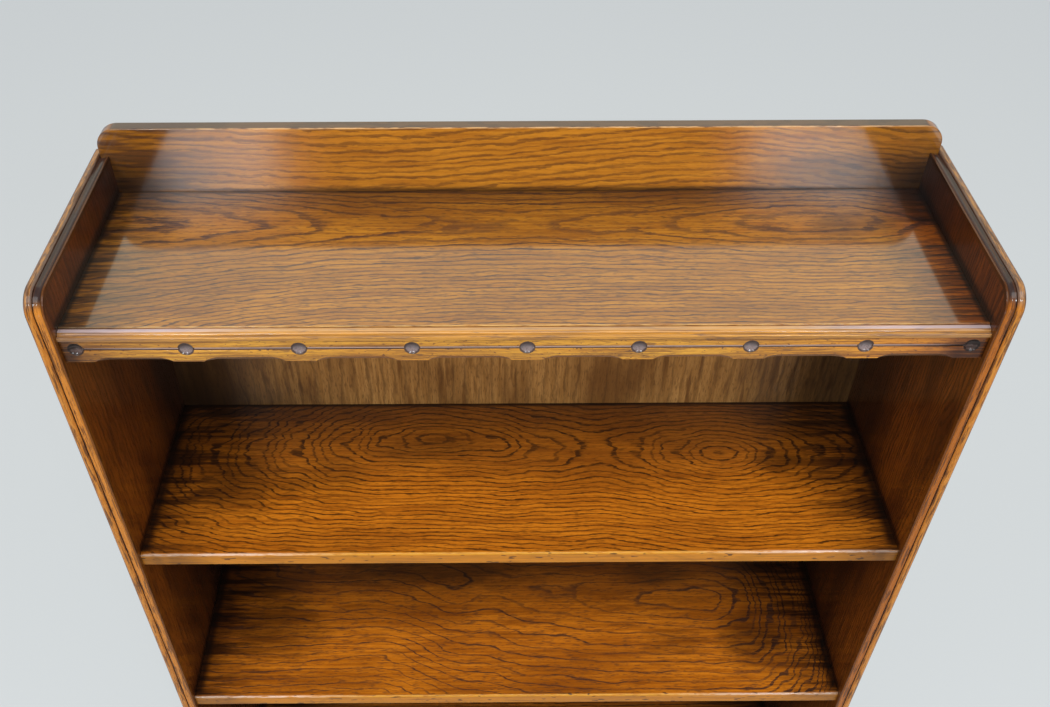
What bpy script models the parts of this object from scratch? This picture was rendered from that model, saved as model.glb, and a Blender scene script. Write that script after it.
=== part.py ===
# Open-front oak bookcase: two moulded sides, a top board with a gallery and a carved
# frieze, two shelves, a bottom board on a plinth, and a thin back.
# Metres, +Z up. The front looks towards -Y. The origin is on the floor under the
# middle of the case.

import math

import bmesh
import bpy
from mathutils import Matrix, Vector

# The case
WIDTH = 0.914
DEPTH = 0.254
SIDE_HEIGHT = 1.219
SIDE_THICKNESS = 0.019
BOARD_THICKNESS = 0.018

# Distances below the tops of the sides, to each board's upper face
TOP_DROP = 0.046
UPPER_SHELF_DROP = 0.388
LOWER_SHELF_DROP = 0.708
BOTTOM_BOARD_HEIGHT = 0.127

# Joints between boards
FIT_GAP = 0.0003
HOUSING_DEPTH = 0.006
HOUSING_STOP = 0.012
TONGUE_DROP = 0.003
REBATE_WIDTH = 0.010

# Moulded front and top edge of a side, read from its outer face inwards
SIDE_CORNER_RADIUS = 0.024
BEAD_WIDTH = 0.0084
BEAD_HEIGHT = 0.0034
QUIRK_WIDTH = 0.0007
QUIRK_RISE = 0.0012
HOLLOW_WIDTH = 0.0083
HOLLOW_DEPTH = 0.0016
INNER_FILLET_SINK = 0.0010

# Moulded front edge of the top board: a small step, an ovolo and a fillet that stands
# proud, with a rebate behind the fillet for the frieze rail
TOP_SETBACK = 0.0046
NOSE_STEP_SETBACK = 0.0104
NOSE_STEP_DEPTH = 0.0013
OVOLO_WIDTH = 0.0070
OVOLO_HEIGHT = 0.0034
FILLET_HEIGHT = 0.0042
FILLET_ARRIS_RADIUS = 0.0009
FILLET_FOOT_RADIUS = 0.0003
TONGUE_SHOULDER = 0.002

# Front edge of the shelves and of the bottom board
SHELF_SETBACK = 0.0062
SHELF_ARRIS_RADIUS = 0.003
SHELF_FOOT_RADIUS = 0.001

# Gallery along the back of the top
GALLERY_THICKNESS = 0.014
GALLERY_RISE = 0.032
GALLERY_FOOT = 0.012
GALLERY_CORNER_RADIUS = 0.023
GALLERY_ARRIS_RADIUS = 0.0012

# Frieze rail with its round dishes, the groove that joins them and the stopped chamfers
FRIEZE_SETBACK = 0.0064
FRIEZE_THICKNESS = 0.014
FRIEZE_HEIGHT = 0.0273
DISH_RADIUS = 0.0074
DISH_DEPTH = 0.0034
DISH_DROP = 0.0110
GROOVE_WIDTH = 0.0034
GROOVE_DEPTH = 0.0016
CHAMFER_HEIGHT = 0.0060
CHAMFER_DEPTH = 0.0038
CHAMFER_STOP_LENGTH = 0.0120
UNCHAMFERED_REACH = 0.0150
# Places of the dishes along the clear width, as hand-marked on the rail
DISH_PLACE_SHARES = (-0.4840, -0.3653, -0.2433, -0.1213, 0.0033, 0.1241, 0.2452, 0.3690, 0.4840)

# Thin back
PANEL_THICKNESS = 0.005
PANEL_LAP = 0.010

# Plinth
PLINTH_SETBACK = 0.018
PLINTH_THICKNESS = 0.016
PLINTH_FLOOR_GAP = 0.002

# Glue blocks
FRIEZE_BLOCK_LEG = 0.014
PLINTH_BLOCK_LEG = 0.024
BLOCK_LENGTH = 0.064
CORNER_BLOCK_FOOT_GAP = 0.010
FRIEZE_BLOCK_PLACE_SHARES = (-0.307, -0.0595, 0.187, 0.431)
PLINTH_BLOCK_PLACE_SHARES = (-0.25, 0.0, 0.25)

# Countersunk gallery screws
SCREW_LENGTH = 0.034
SCREW_RADIUS = 0.0021
SCREW_HEAD_RADIUS = 0.0042
SCREW_HEAD_DEPTH = 0.0026
SCREW_TIP_LENGTH = 0.005
SLOT_WIDTH = 0.0011
SLOT_DEPTH = 0.0012
SCREW_PLACE_SHARES = (-0.33, 0.0, 0.33)
SIDE_SCREW_DROP = 0.020

# Panel pins
PIN_LENGTH = 0.013
PIN_RADIUS = 0.0008
PIN_HEAD_RADIUS = 0.0015
PIN_HEAD_DEPTH = 0.0008
PIN_TIP_LENGTH = 0.0016
BAY_PIN_SHARES = (0.24, 0.76)
BOARD_PIN_PLACE_SHARES = (-0.31, 0.0, 0.31)

# Working values of the model itself
CUT_OVERRUN = 0.002
PLANING_ALLOWANCE = 0.0005
WELD_DISTANCE = 0.00001
FLAT_ANGLE = math.radians(0.2)
CORNER_STEPS = 8
ARRIS_STEPS = 3
BEAD_STEPS = 6
HOLLOW_STEPS = 4
OVOLO_STEPS = 6
CHAMFER_STOP_STEPS = 5
DISH_SEGMENTS = 20
DISH_RINGS = 14
SCREW_SEGMENTS = 16
PIN_SEGMENTS = 8

# Faces and levels that several boards share
FRONT = -DEPTH / 2
BACK = DEPTH / 2
INNER_FACE = WIDTH / 2 - SIDE_THICKNESS
CLEAR_WIDTH = 2 * INNER_FACE
BOARD_END = INNER_FACE + HOUSING_DEPTH - FIT_GAP
LAP_END = INNER_FACE + REBATE_WIDTH - FIT_GAP
LAP_CENTRE = INNER_FACE + REBATE_WIDTH / 2
PANEL_FACE = BACK - PANEL_THICKNESS
GALLERY_FACE = BACK - GALLERY_THICKNESS
SHELF_REAR = PANEL_FACE - FIT_GAP
TOP_REAR = GALLERY_FACE - FIT_GAP
SHELF_FRONT = FRONT + SHELF_SETBACK
TOP_FRONT = FRONT + TOP_SETBACK
TOP_LEVEL = SIDE_HEIGHT - TOP_DROP
FILLET_LEVEL = TOP_LEVEL - NOSE_STEP_DEPTH - OVOLO_HEIGHT
LIP_UNDERSIDE = FILLET_LEVEL - FILLET_HEIGHT
FRIEZE_TOP = LIP_UNDERSIDE - FIT_GAP
FRIEZE_FACE = FRONT + FRIEZE_SETBACK
FRIEZE_REAR = FRIEZE_FACE + FRIEZE_THICKNESS
REBATE_SHOULDER = FRIEZE_REAR + FIT_GAP
TOP_TONGUE_FRONT = REBATE_SHOULDER + TONGUE_SHOULDER
SHELF_TONGUE_FRONT = SHELF_FRONT + HOUSING_STOP
UPPER_SHELF_LEVEL = SIDE_HEIGHT - UPPER_SHELF_DROP
LOWER_SHELF_LEVEL = SIDE_HEIGHT - LOWER_SHELF_DROP
TOP_UNDERSIDE = TOP_LEVEL - BOARD_THICKNESS
BOTTOM_UNDERSIDE = BOTTOM_BOARD_HEIGHT - BOARD_THICKNESS
GALLERY_BOTTOM = TOP_UNDERSIDE - GALLERY_FOOT
PANEL_TOP = GALLERY_BOTTOM + PANEL_LAP
BED_LEVEL = TOP_UNDERSIDE - FIT_GAP
PLINTH_TOP = BOTTOM_UNDERSIDE - FIT_GAP

# Colour, roughness and metallic value of each finish
FINISHES = {
    "side_oak": ((0.135, 0.048, 0.014), 0.32, 0.0),
    "top_oak": ((0.36, 0.16, 0.045), 0.24, 0.0),
    "gallery_oak": ((0.40, 0.17, 0.035), 0.34, 0.0),
    "frieze_oak": ((0.44, 0.21, 0.06), 0.34, 0.0),
    "shelf_oak": ((0.33, 0.12, 0.022), 0.28, 0.0),
    "panel_oak": ((0.20, 0.085, 0.028), 0.45, 0.0),
    "plinth_oak": ((0.24, 0.09, 0.022), 0.36, 0.0),
    "block_pine": ((0.42, 0.25, 0.11), 0.7, 0.0),
    "screw_steel": ((0.32, 0.29, 0.25), 0.42, 1.0),
    "pin_steel": ((0.28, 0.26, 0.24), 0.45, 1.0),
}


def clear_scene():
    for obj in list(bpy.data.objects):
        bpy.data.objects.remove(obj, do_unlink=True)


def new_collection(name):
    group = bpy.data.collections.new(name)
    bpy.context.scene.collection.children.link(group)
    return group


def make_material(name, finish):
    colour, roughness, metallic = FINISHES[finish]
    material = bpy.data.materials.new(name)
    material.use_nodes = True
    shader = material.node_tree.nodes["Principled BSDF"]
    shader.inputs["Base Color"].default_value = (*colour, 1.0)
    shader.inputs["Roughness"].default_value = roughness
    shader.inputs["Metallic"].default_value = metallic
    return material


def evaluated_mesh(obj):
    bpy.context.view_layer.update()
    depsgraph = bpy.context.evaluated_depsgraph_get()
    return bpy.data.meshes.new_from_object(obj.evaluated_get(depsgraph))


def mesh_object(name, mesh, group):
    obj = bpy.data.objects.new(name, mesh)
    group.objects.link(obj)
    return obj


def finish_part(obj, finish):
    obj.data.materials.clear()
    obj.data.materials.append(make_material(obj.name, finish))
    return obj


def finish_cutter(obj):
    obj.hide_render = True
    obj.display_type = "WIRE"
    return obj


def cut(obj, cutters, solver="EXACT"):
    for cutter in cutters:
        boolean = obj.modifiers.new("cut_" + cutter.name, "BOOLEAN")
        boolean.operation = "DIFFERENCE"
        boolean.solver = solver
        boolean.object = cutter


def soften(obj, radius):
    bevel = obj.modifiers.new("soft_arris", "BEVEL")
    bevel.width = radius
    bevel.segments = 2
    bevel.limit_method = "ANGLE"
    bevel.angle_limit = math.radians(40)


def box(name, low, high, group):
    """A box between its lowest and highest corners."""
    bm = bmesh.new()
    bmesh.ops.create_cube(bm, size=1)
    size = Vector(high) - Vector(low)
    bmesh.ops.scale(bm, vec=size, verts=bm.verts)
    mesh = bpy.data.meshes.new(name)
    bm.to_mesh(mesh)
    bm.free()
    obj = mesh_object(name, mesh, group)
    obj.location = (Vector(low) + Vector(high)) / 2
    return obj


def extruded(name, outline, low, high, direction, group):
    """A flat outline given its thickness from low to high, along X or Y.

    Along X the outline's points are (y, z), along Y they are (x, z).
    """
    curve = bpy.data.curves.new(name, "CURVE")
    curve.dimensions = "2D"
    curve.fill_mode = "BOTH"
    curve.extrude = (high - low) / 2
    spline = curve.splines.new("POLY")
    spline.points.add(len(outline) - 1)
    for point, (across, up) in zip(spline.points, outline):
        point.co = (across, up, 0, 1)
    spline.use_cyclic_u = True
    guide = bpy.data.objects.new(name + "_outline", curve)
    group.objects.link(guide)
    middle = (low + high) / 2
    if direction == "X":
        guide.rotation_euler = (math.pi / 2, 0, math.pi / 2)
        guide.location = (middle, 0, 0)
    else:
        guide.rotation_euler = (math.pi / 2, 0, 0)
        guide.location = (0, middle, 0)
    mesh = evaluated_mesh(guide)
    bm = bmesh.new()
    bm.from_mesh(mesh)
    bmesh.ops.remove_doubles(bm, verts=bm.verts, dist=WELD_DISTANCE)
    bmesh.ops.dissolve_limit(bm, angle_limit=FLAT_ANGLE, verts=bm.verts, edges=bm.edges)
    bmesh.ops.recalc_face_normals(bm, faces=bm.faces)
    bm.to_mesh(mesh)
    bm.free()
    obj = mesh_object(name, mesh, group)
    obj.matrix_world = guide.matrix_world.copy()
    bpy.data.objects.remove(guide, do_unlink=True)
    return obj


def swept(name, section, moves, group):
    """A closed shape from one flat section of (x, y, z) points that is moved step by step."""
    bm = bmesh.new()
    foot = bm.faces.new([bm.verts.new(point) for point in section])
    face = foot
    for move in moves:
        grown = bmesh.ops.extrude_face_region(bm, geom=[face])["geom"]
        if face is not foot:
            bm.faces.remove(face)
        face = next(item for item in grown if isinstance(item, bmesh.types.BMFace))
        bmesh.ops.transform(bm, matrix=move, verts=face.verts)
    bmesh.ops.recalc_face_normals(bm, faces=bm.faces)
    mesh = bpy.data.meshes.new(name)
    bm.to_mesh(mesh)
    bm.free()
    return mesh_object(name, mesh, group)


def turned_mesh(name, profile, segments):
    """A closed turned shape from (radius, height) points that run down its outer side."""
    mesh = bpy.data.meshes.new(name + "_profile")
    vertices = [(radius, 0, height) for radius, height in profile]
    edges = [(index, index + 1) for index in range(len(profile) - 1)]
    mesh.from_pydata(vertices, edges, [])
    guide = bpy.data.objects.new(name + "_guide", mesh)
    bpy.context.scene.collection.objects.link(guide)
    screw = guide.modifiers.new("turn", "SCREW")
    screw.axis = "Z"
    screw.steps = segments
    screw.render_steps = segments
    screw.use_merge_vertices = True
    screw.merge_threshold = WELD_DISTANCE
    turned = evaluated_mesh(guide)
    turned.name = name
    bpy.data.objects.remove(guide, do_unlink=True)
    bm = bmesh.new()
    bm.from_mesh(turned)
    bmesh.ops.remove_doubles(bm, verts=bm.verts, dist=WELD_DISTANCE)
    bmesh.ops.recalc_face_normals(bm, faces=bm.faces)
    bm.to_mesh(turned)
    bm.free()
    return turned


def shade_round(mesh):
    mesh.shade_smooth()
    mesh.set_sharp_from_angle(angle=math.radians(35))


def quarter(centre, half_sizes, start, steps):
    """Points of a quarter ellipse, counted anticlockwise from the start angle."""
    points = []
    for step in range(steps + 1):
        angle = start + math.pi / 2 * step / steps
        points.append((centre[0] + half_sizes[0] * math.cos(angle),
                       centre[1] + half_sizes[1] * math.sin(angle)))
    return points


# Sides

def side_edge_profile():
    """The moulded edge as (distance from the outer face, depth below the edge)."""
    points = []
    for step in range(BEAD_STEPS + 1):
        angle = math.pi * step / BEAD_STEPS
        across = BEAD_WIDTH / 2 * (1 - math.cos(angle))
        points.append((across, BEAD_HEIGHT * (1 - math.sin(angle))))
    quirk_end = BEAD_WIDTH + QUIRK_WIDTH
    points.append((quirk_end, BEAD_HEIGHT - QUIRK_RISE))
    for step in range(1, HOLLOW_STEPS + 1):
        share = step / HOLLOW_STEPS
        line = (BEAD_HEIGHT - QUIRK_RISE) * (1 - share) + INNER_FILLET_SINK * share
        sag = HOLLOW_DEPTH * math.sin(math.pi * share)
        points.append((quirk_end + HOLLOW_WIDTH * share, line + sag))
    return points


def side_moulding_cutter(group):
    """What the moulding plane takes off the left side, swept up, round and back."""
    outer_face = -WIDTH / 2
    profile = side_edge_profile()
    section = [(outer_face - CUT_OVERRUN, -CUT_OVERRUN)]
    section.append((outer_face - CUT_OVERRUN, profile[0][1]))
    section += [(outer_face + across, depth) for across, depth in profile]
    section.append((-INNER_FACE + CUT_OVERRUN, profile[-1][1]))
    section.append((-INNER_FACE + CUT_OVERRUN, -CUT_OVERRUN))
    foot = [(x, FRONT + depth, -CUT_OVERRUN) for x, depth in section]
    corner = Vector((0, FRONT + SIDE_CORNER_RADIUS, SIDE_HEIGHT - SIDE_CORNER_RADIUS))
    rise = Matrix.Translation((0, 0, corner.z + CUT_OVERRUN))
    turn = Matrix.Rotation(-math.pi / 2 / CORNER_STEPS, 4, "X")
    about_corner = Matrix.Translation(corner) @ turn @ Matrix.Translation(-corner)
    run_back = Matrix.Translation((0, BACK + CUT_OVERRUN - corner.y, 0))
    moves = [rise] + [about_corner] * CORNER_STEPS + [run_back]
    return finish_cutter(swept("side_moulding_cutter", foot, moves, group))


def side_rebate_cutter(group):
    """The rebate down the left side's rear inner edge, deeper where the gallery sits."""
    shoulder = PANEL_FACE - FIT_GAP
    gallery_shoulder = GALLERY_FACE - FIT_GAP
    step_level = GALLERY_BOTTOM - FIT_GAP
    outline = [
        (BACK + CUT_OVERRUN, -CUT_OVERRUN),
        (BACK + CUT_OVERRUN, SIDE_HEIGHT + CUT_OVERRUN),
        (gallery_shoulder, SIDE_HEIGHT + CUT_OVERRUN),
        (gallery_shoulder, step_level),
        (shoulder, step_level),
        (shoulder, -CUT_OVERRUN),
    ]
    cutter = extruded("side_rebate_cutter", outline, -INNER_FACE - REBATE_WIDTH,
                      -INNER_FACE + CUT_OVERRUN, "X", group)
    return finish_cutter(cutter)


def housing_cutter(name, level, tongue_front, group):
    """A stopped housing in the left side for one board's end."""
    low = (-INNER_FACE - HOUSING_DEPTH, tongue_front - FIT_GAP, level - BOARD_THICKNESS - FIT_GAP)
    high = (-INNER_FACE + CUT_OVERRUN, BACK + CUT_OVERRUN, level - TONGUE_DROP + FIT_GAP)
    return finish_cutter(box(name + "_housing_cutter", low, high, group))


def make_left_side(parts, cutters, holes):
    front = FRONT - PLANING_ALLOWANCE
    top = SIDE_HEIGHT + PLANING_ALLOWANCE
    radius = SIDE_CORNER_RADIUS + PLANING_ALLOWANCE
    corner = quarter((front + radius, top - radius), (radius, radius), math.pi / 2, CORNER_STEPS)
    outline = [(front, 0), (BACK, 0), (BACK, top)] + corner
    side = extruded("left_side", outline, -WIDTH / 2, -INNER_FACE, "X", parts)
    housings = [
        housing_cutter("top", TOP_LEVEL, TOP_TONGUE_FRONT, cutters),
        housing_cutter("upper_shelf", UPPER_SHELF_LEVEL, SHELF_TONGUE_FRONT, cutters),
        housing_cutter("lower_shelf", LOWER_SHELF_LEVEL, SHELF_TONGUE_FRONT, cutters),
        housing_cutter("bottom_board", BOTTOM_BOARD_HEIGHT, SHELF_TONGUE_FRONT, cutters),
    ]
    cut(side, [side_moulding_cutter(cutters), side_rebate_cutter(cutters)] + housings + holes)
    return finish_part(side, "side_oak")


def make_right_side(left_side, parts):
    """The left side's mirror image."""
    mesh = evaluated_mesh(left_side)
    mesh.name = "right_side"
    mesh.transform(Matrix.Scale(-1, 4, (1, 0, 0)) @ left_side.matrix_world)
    mesh.flip_normals()
    return finish_part(mesh_object("right_side", mesh, parts), "side_oak")


# Boards between the sides

def top_profile():
    """The top board's section as (y, z), with its moulded nose and the frieze's rebate."""
    step = TOP_FRONT + NOSE_STEP_SETBACK
    ovolo = quarter((step, FILLET_LEVEL), (OVOLO_WIDTH, OVOLO_HEIGHT), math.pi / 2, OVOLO_STEPS)
    arris = quarter((TOP_FRONT + FILLET_ARRIS_RADIUS, FILLET_LEVEL - FILLET_ARRIS_RADIUS),
                    (FILLET_ARRIS_RADIUS, FILLET_ARRIS_RADIUS), math.pi / 2, ARRIS_STEPS)
    foot = quarter((TOP_FRONT + FILLET_FOOT_RADIUS, LIP_UNDERSIDE + FILLET_FOOT_RADIUS),
                   (FILLET_FOOT_RADIUS, FILLET_FOOT_RADIUS), math.pi, ARRIS_STEPS)
    rebate = [(REBATE_SHOULDER, LIP_UNDERSIDE), (REBATE_SHOULDER, TOP_UNDERSIDE)]
    board = [(TOP_REAR, TOP_UNDERSIDE), (TOP_REAR, TOP_LEVEL), (step, TOP_LEVEL)]
    return board + ovolo + arris + foot + rebate


def shelf_profile(level):
    """A shelf's section as (y, z), with softened front arrises."""
    underside = level - BOARD_THICKNESS
    upper = quarter((SHELF_FRONT + SHELF_ARRIS_RADIUS, level - SHELF_ARRIS_RADIUS),
                    (SHELF_ARRIS_RADIUS, SHELF_ARRIS_RADIUS), math.pi / 2, ARRIS_STEPS)
    lower = quarter((SHELF_FRONT + SHELF_FOOT_RADIUS, underside + SHELF_FOOT_RADIUS),
                    (SHELF_FOOT_RADIUS, SHELF_FOOT_RADIUS), math.pi, ARRIS_STEPS)
    return [(SHELF_REAR, underside), (SHELF_REAR, level)] + upper + lower


def notch_cutters(name, level, front, tongue_front, cutters):
    """What comes off a board's ends to leave their tongues: the front corner and a shoulder on top."""
    floor = level - BOARD_THICKNESS - CUT_OVERRUN
    shoulder = level - TONGUE_DROP
    outline = [
        (front - CUT_OVERRUN, floor),
        (tongue_front, floor),
        (tongue_front, shoulder),
        (BACK + CUT_OVERRUN, shoulder),
        (BACK + CUT_OVERRUN, level + CUT_OVERRUN),
        (front - CUT_OVERRUN, level + CUT_OVERRUN),
    ]
    notches = []
    for label, side in (("left", -1), ("right", 1)):
        start, stop = sorted((side * (INNER_FACE - FIT_GAP), side * (BOARD_END + CUT_OVERRUN)))
        notch = extruded(f"{name}_{label}_notch_cutter", outline, start, stop, "X", cutters)
        notches.append(finish_cutter(notch))
    return notches


def make_top_board(parts, cutters, holes):
    board = extruded("top_board", top_profile(), -BOARD_END, BOARD_END, "X", parts)
    cut(board, notch_cutters("top_board", TOP_LEVEL, TOP_FRONT, TOP_TONGUE_FRONT, cutters) + holes)
    return finish_part(board, "top_oak")


def make_shelf(name, level, parts, cutters, holes):
    shelf = extruded(name, shelf_profile(level), -BOARD_END, BOARD_END, "X", parts)
    cut(shelf, notch_cutters(name, level, SHELF_FRONT, SHELF_TONGUE_FRONT, cutters) + holes)
    return finish_part(shelf, "shelf_oak")


# Gallery

def make_gallery(parts, cutters, holes):
    top = SIDE_HEIGHT + GALLERY_RISE
    radius = GALLERY_CORNER_RADIUS
    right_corner = quarter((LAP_END - radius, top - radius), (radius, radius), 0, CORNER_STEPS)
    left_corner = quarter((radius - LAP_END, top - radius), (radius, radius), math.pi / 2, CORNER_STEPS)
    outline = [(-LAP_END, GALLERY_BOTTOM), (LAP_END, GALLERY_BOTTOM)] + right_corner + left_corner
    gallery = extruded("gallery_board", outline, GALLERY_FACE, BACK, "Y", parts)
    soften(gallery, GALLERY_ARRIS_RADIUS)
    low = (-LAP_END - CUT_OVERRUN, PANEL_FACE - FIT_GAP, GALLERY_BOTTOM - CUT_OVERRUN)
    high = (LAP_END + CUT_OVERRUN, BACK + CUT_OVERRUN, PANEL_TOP + FIT_GAP)
    rebate = finish_cutter(box("gallery_rebate_cutter", low, high, cutters))
    cut(gallery, [rebate] + holes)
    return finish_part(gallery, "gallery_oak")


# Frieze rail

def dish_cutter(index, place, cutters):
    """A ball that scoops one round dish out of the frieze's face."""
    ball_radius = (DISH_RADIUS ** 2 + DISH_DEPTH ** 2) / (2 * DISH_DEPTH)
    mesh = bpy.data.meshes.new(f"dish_cutter_{index}")
    bm = bmesh.new()
    bmesh.ops.create_uvsphere(bm, u_segments=DISH_SEGMENTS, v_segments=DISH_RINGS, radius=ball_radius)
    bm.to_mesh(mesh)
    bm.free()
    ball = mesh_object(f"dish_cutter_{index}", mesh, cutters)
    ball.rotation_euler = (math.pi / 2, 0, 0)
    ball.location = (place, FRIEZE_FACE + DISH_DEPTH - ball_radius, FRIEZE_TOP - DISH_DROP)
    return finish_cutter(ball)


def groove_cutter(first, last, cutters):
    """The square groove from the first dish's middle to the last dish's."""
    level = FRIEZE_TOP - DISH_DROP
    low = (first, FRIEZE_FACE - CUT_OVERRUN, level - GROOVE_WIDTH / 2)
    high = (last, FRIEZE_FACE + GROOVE_DEPTH, level + GROOVE_WIDTH / 2)
    return finish_cutter(box("groove_cutter", low, high, cutters))


def chamfer_cutter(index, start, stop, cutters):
    """One chamfer along the lower front arris, which runs out in a hollow at both ends."""
    lean = CHAMFER_HEIGHT / CHAMFER_DEPTH
    section = [
        (0, -CUT_OVERRUN, CHAMFER_HEIGHT + CUT_OVERRUN * lean),
        (0, CHAMFER_DEPTH + CUT_OVERRUN / lean, -CUT_OVERRUN),
        (0, -CUT_OVERRUN, -CUT_OVERRUN),
    ]
    sizes = [step / CHAMFER_STOP_STEPS for step in range(1, CHAMFER_STOP_STEPS + 1)]
    runs = [CHAMFER_STOP_LENGTH * size ** 2 for size in sizes]
    stations = [(start + run, size) for run, size in zip(runs, sizes)]
    stations += [(stop - run, size) for run, size in zip(reversed(runs), reversed(sizes))]
    x, size = stations[0]
    foot = [(x, across * size, up * size) for _, across, up in section]
    moves = []
    for next_x, next_size in stations[1:]:
        scale = Matrix.Diagonal((1, next_size / size, next_size / size, 1))
        moves.append(Matrix.Translation((next_x - x, 0, 0)) @ scale)
        x, size = next_x, next_size
    cutter = swept(f"chamfer_cutter_{index}", foot, moves, cutters)
    cutter.location = (0, FRIEZE_FACE, FRIEZE_TOP - FRIEZE_HEIGHT)
    return finish_cutter(cutter)


def make_frieze(parts, cutters):
    end = INNER_FACE - FIT_GAP
    low = (-end, FRIEZE_FACE, FRIEZE_TOP - FRIEZE_HEIGHT)
    frieze = box("frieze_rail", low, (end, FRIEZE_REAR, FRIEZE_TOP), parts)
    places = [share * CLEAR_WIDTH for share in DISH_PLACE_SHARES]
    carving = [groove_cutter(places[0], places[-1], cutters)]
    carving += [dish_cutter(index, place, cutters) for index, place in enumerate(places, 1)]
    for index, (left, right) in enumerate(zip(places, places[1:]), 1):
        start = left + UNCHAMFERED_REACH
        carving.append(chamfer_cutter(index, start, right - UNCHAMFERED_REACH, cutters))
    cut(frieze, carving)
    return finish_part(frieze, "frieze_oak")


# Back, plinth and glue blocks

def make_back_panel(parts, holes):
    panel = box("back_panel", (-LAP_END, PANEL_FACE, BOTTOM_UNDERSIDE), (LAP_END, BACK, PANEL_TOP), parts)
    cut(panel, holes, "MANIFOLD")
    return finish_part(panel, "panel_oak")


def make_plinth(parts):
    front = FRONT + PLINTH_SETBACK
    end = INNER_FACE - FIT_GAP
    low = (-end, front, PLINTH_FLOOR_GAP)
    plinth = box("plinth_board", low, (end, front + PLINTH_THICKNESS, PLINTH_TOP), parts)
    return finish_part(plinth, "plinth_oak")


def make_edge_block(name, place, leg, face, level, parts):
    """A three-sided block glued under a board and behind the rail that hangs from it."""
    rear = face + FIT_GAP
    outline = [(rear, level), (rear, level - leg), (rear + leg, level)]
    start = place - BLOCK_LENGTH / 2
    block = extruded(name, outline, start, start + BLOCK_LENGTH, "X", parts)
    return finish_part(block, "block_pine")


def make_corner_block(label, side, parts):
    """A square block that ties an end of the plinth to a side."""
    ends = sorted((side * (INNER_FACE - FIT_GAP), side * (INNER_FACE - FIT_GAP - PLINTH_BLOCK_LEG)))
    rear = FRONT + PLINTH_SETBACK + PLINTH_THICKNESS + FIT_GAP
    low = (ends[0], rear, CORNER_BLOCK_FOOT_GAP)
    high = (ends[1], rear + PLINTH_BLOCK_LEG, PLINTH_TOP)
    return finish_part(box(f"plinth_corner_block_{label}", low, high, parts), "block_pine")


def make_blocks(parts):
    for index, share in enumerate(FRIEZE_BLOCK_PLACE_SHARES, 1):
        place = share * CLEAR_WIDTH
        make_edge_block(f"frieze_block_{index}", place, FRIEZE_BLOCK_LEG, FRIEZE_REAR, BED_LEVEL, parts)
    plinth_rear = FRONT + PLINTH_SETBACK + PLINTH_THICKNESS
    for index, share in enumerate(PLINTH_BLOCK_PLACE_SHARES, 1):
        place = share * CLEAR_WIDTH
        make_edge_block(f"plinth_block_{index}", place, PLINTH_BLOCK_LEG, plinth_rear, PLINTH_TOP, parts)
    for label, side in (("left", -1), ("right", 1)):
        make_corner_block(label, side, parts)


# Screws and pins, driven from behind: their heads look towards +Y

def screw_profile(grow, crown):
    """A countersunk screw's outline, grown for its hole, with its head's flat at the crown."""
    return [
        (0, crown),
        (SCREW_HEAD_RADIUS + grow, crown),
        (SCREW_HEAD_RADIUS + grow, -FIT_GAP),
        (SCREW_RADIUS + grow, -SCREW_HEAD_DEPTH),
        (SCREW_RADIUS + grow, SCREW_TIP_LENGTH - SCREW_LENGTH),
        (0, -SCREW_LENGTH - grow),
    ]


def pin_profile(grow, crown):
    """A panel pin's outline, grown for its hole, with its head's flat at the crown."""
    return [
        (0, crown),
        (PIN_HEAD_RADIUS + grow, crown),
        (PIN_HEAD_RADIUS + grow, -PIN_HEAD_DEPTH - grow),
        (PIN_RADIUS + grow, -PIN_HEAD_DEPTH - grow),
        (PIN_RADIUS + grow, PIN_TIP_LENGTH - PIN_LENGTH),
        (0, -PIN_LENGTH - grow),
    ]


def drive_from_behind(obj, x, z):
    obj.rotation_euler = (-math.pi / 2, 0, 0)
    obj.location = (x, BACK - FIT_GAP, z)
    return obj


def screw_mesh(cutters):
    """One slotted screw, which all the gallery screws share."""
    plain = turned_mesh("plain_screw", screw_profile(0, 0), SCREW_SEGMENTS)
    blank = mesh_object("screw_blank", plain, cutters)
    reach = SCREW_HEAD_RADIUS + CUT_OVERRUN
    low = (-reach, -SLOT_WIDTH / 2, -SLOT_DEPTH)
    slot = finish_cutter(box("screw_slot_cutter", low, (reach, SLOT_WIDTH / 2, CUT_OVERRUN), cutters))
    cut(blank, [slot])
    slotted = evaluated_mesh(blank)
    slotted.name = "gallery_screw"
    bpy.data.objects.remove(blank, do_unlink=True)
    shade_round(slotted)
    return slotted


def make_screws(places, parts, cutters):
    """The gallery screws, and one hole cutter for each."""
    mesh = screw_mesh(cutters)
    mesh.materials.append(make_material("gallery_screws", "screw_steel"))
    hole = turned_mesh("screw_hole", screw_profile(FIT_GAP, CUT_OVERRUN), SCREW_SEGMENTS)
    cutters_by_name = {}
    for name, (x, z) in places.items():
        drive_from_behind(mesh_object(name, mesh, parts), x, z)
        cutter = finish_cutter(mesh_object(name + "_hole_cutter", hole, cutters))
        cutters_by_name[name] = drive_from_behind(cutter, x, z)
    return cutters_by_name


def make_pins(places, parts, cutters):
    """The back pins, and one hole cutter for each."""
    mesh = turned_mesh("back_pin", pin_profile(0, 0), PIN_SEGMENTS)
    shade_round(mesh)
    mesh.materials.append(make_material("back_pins", "pin_steel"))
    hole = turned_mesh("pin_hole", pin_profile(FIT_GAP, CUT_OVERRUN), PIN_SEGMENTS)
    cutters_by_name = {}
    for name, (x, z) in places.items():
        drive_from_behind(mesh_object(name, mesh, parts), x, z)
        cutter = finish_cutter(mesh_object(name + "_hole_cutter", hole, cutters))
        cutters_by_name[name] = drive_from_behind(cutter, x, z)
    return cutters_by_name


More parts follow.
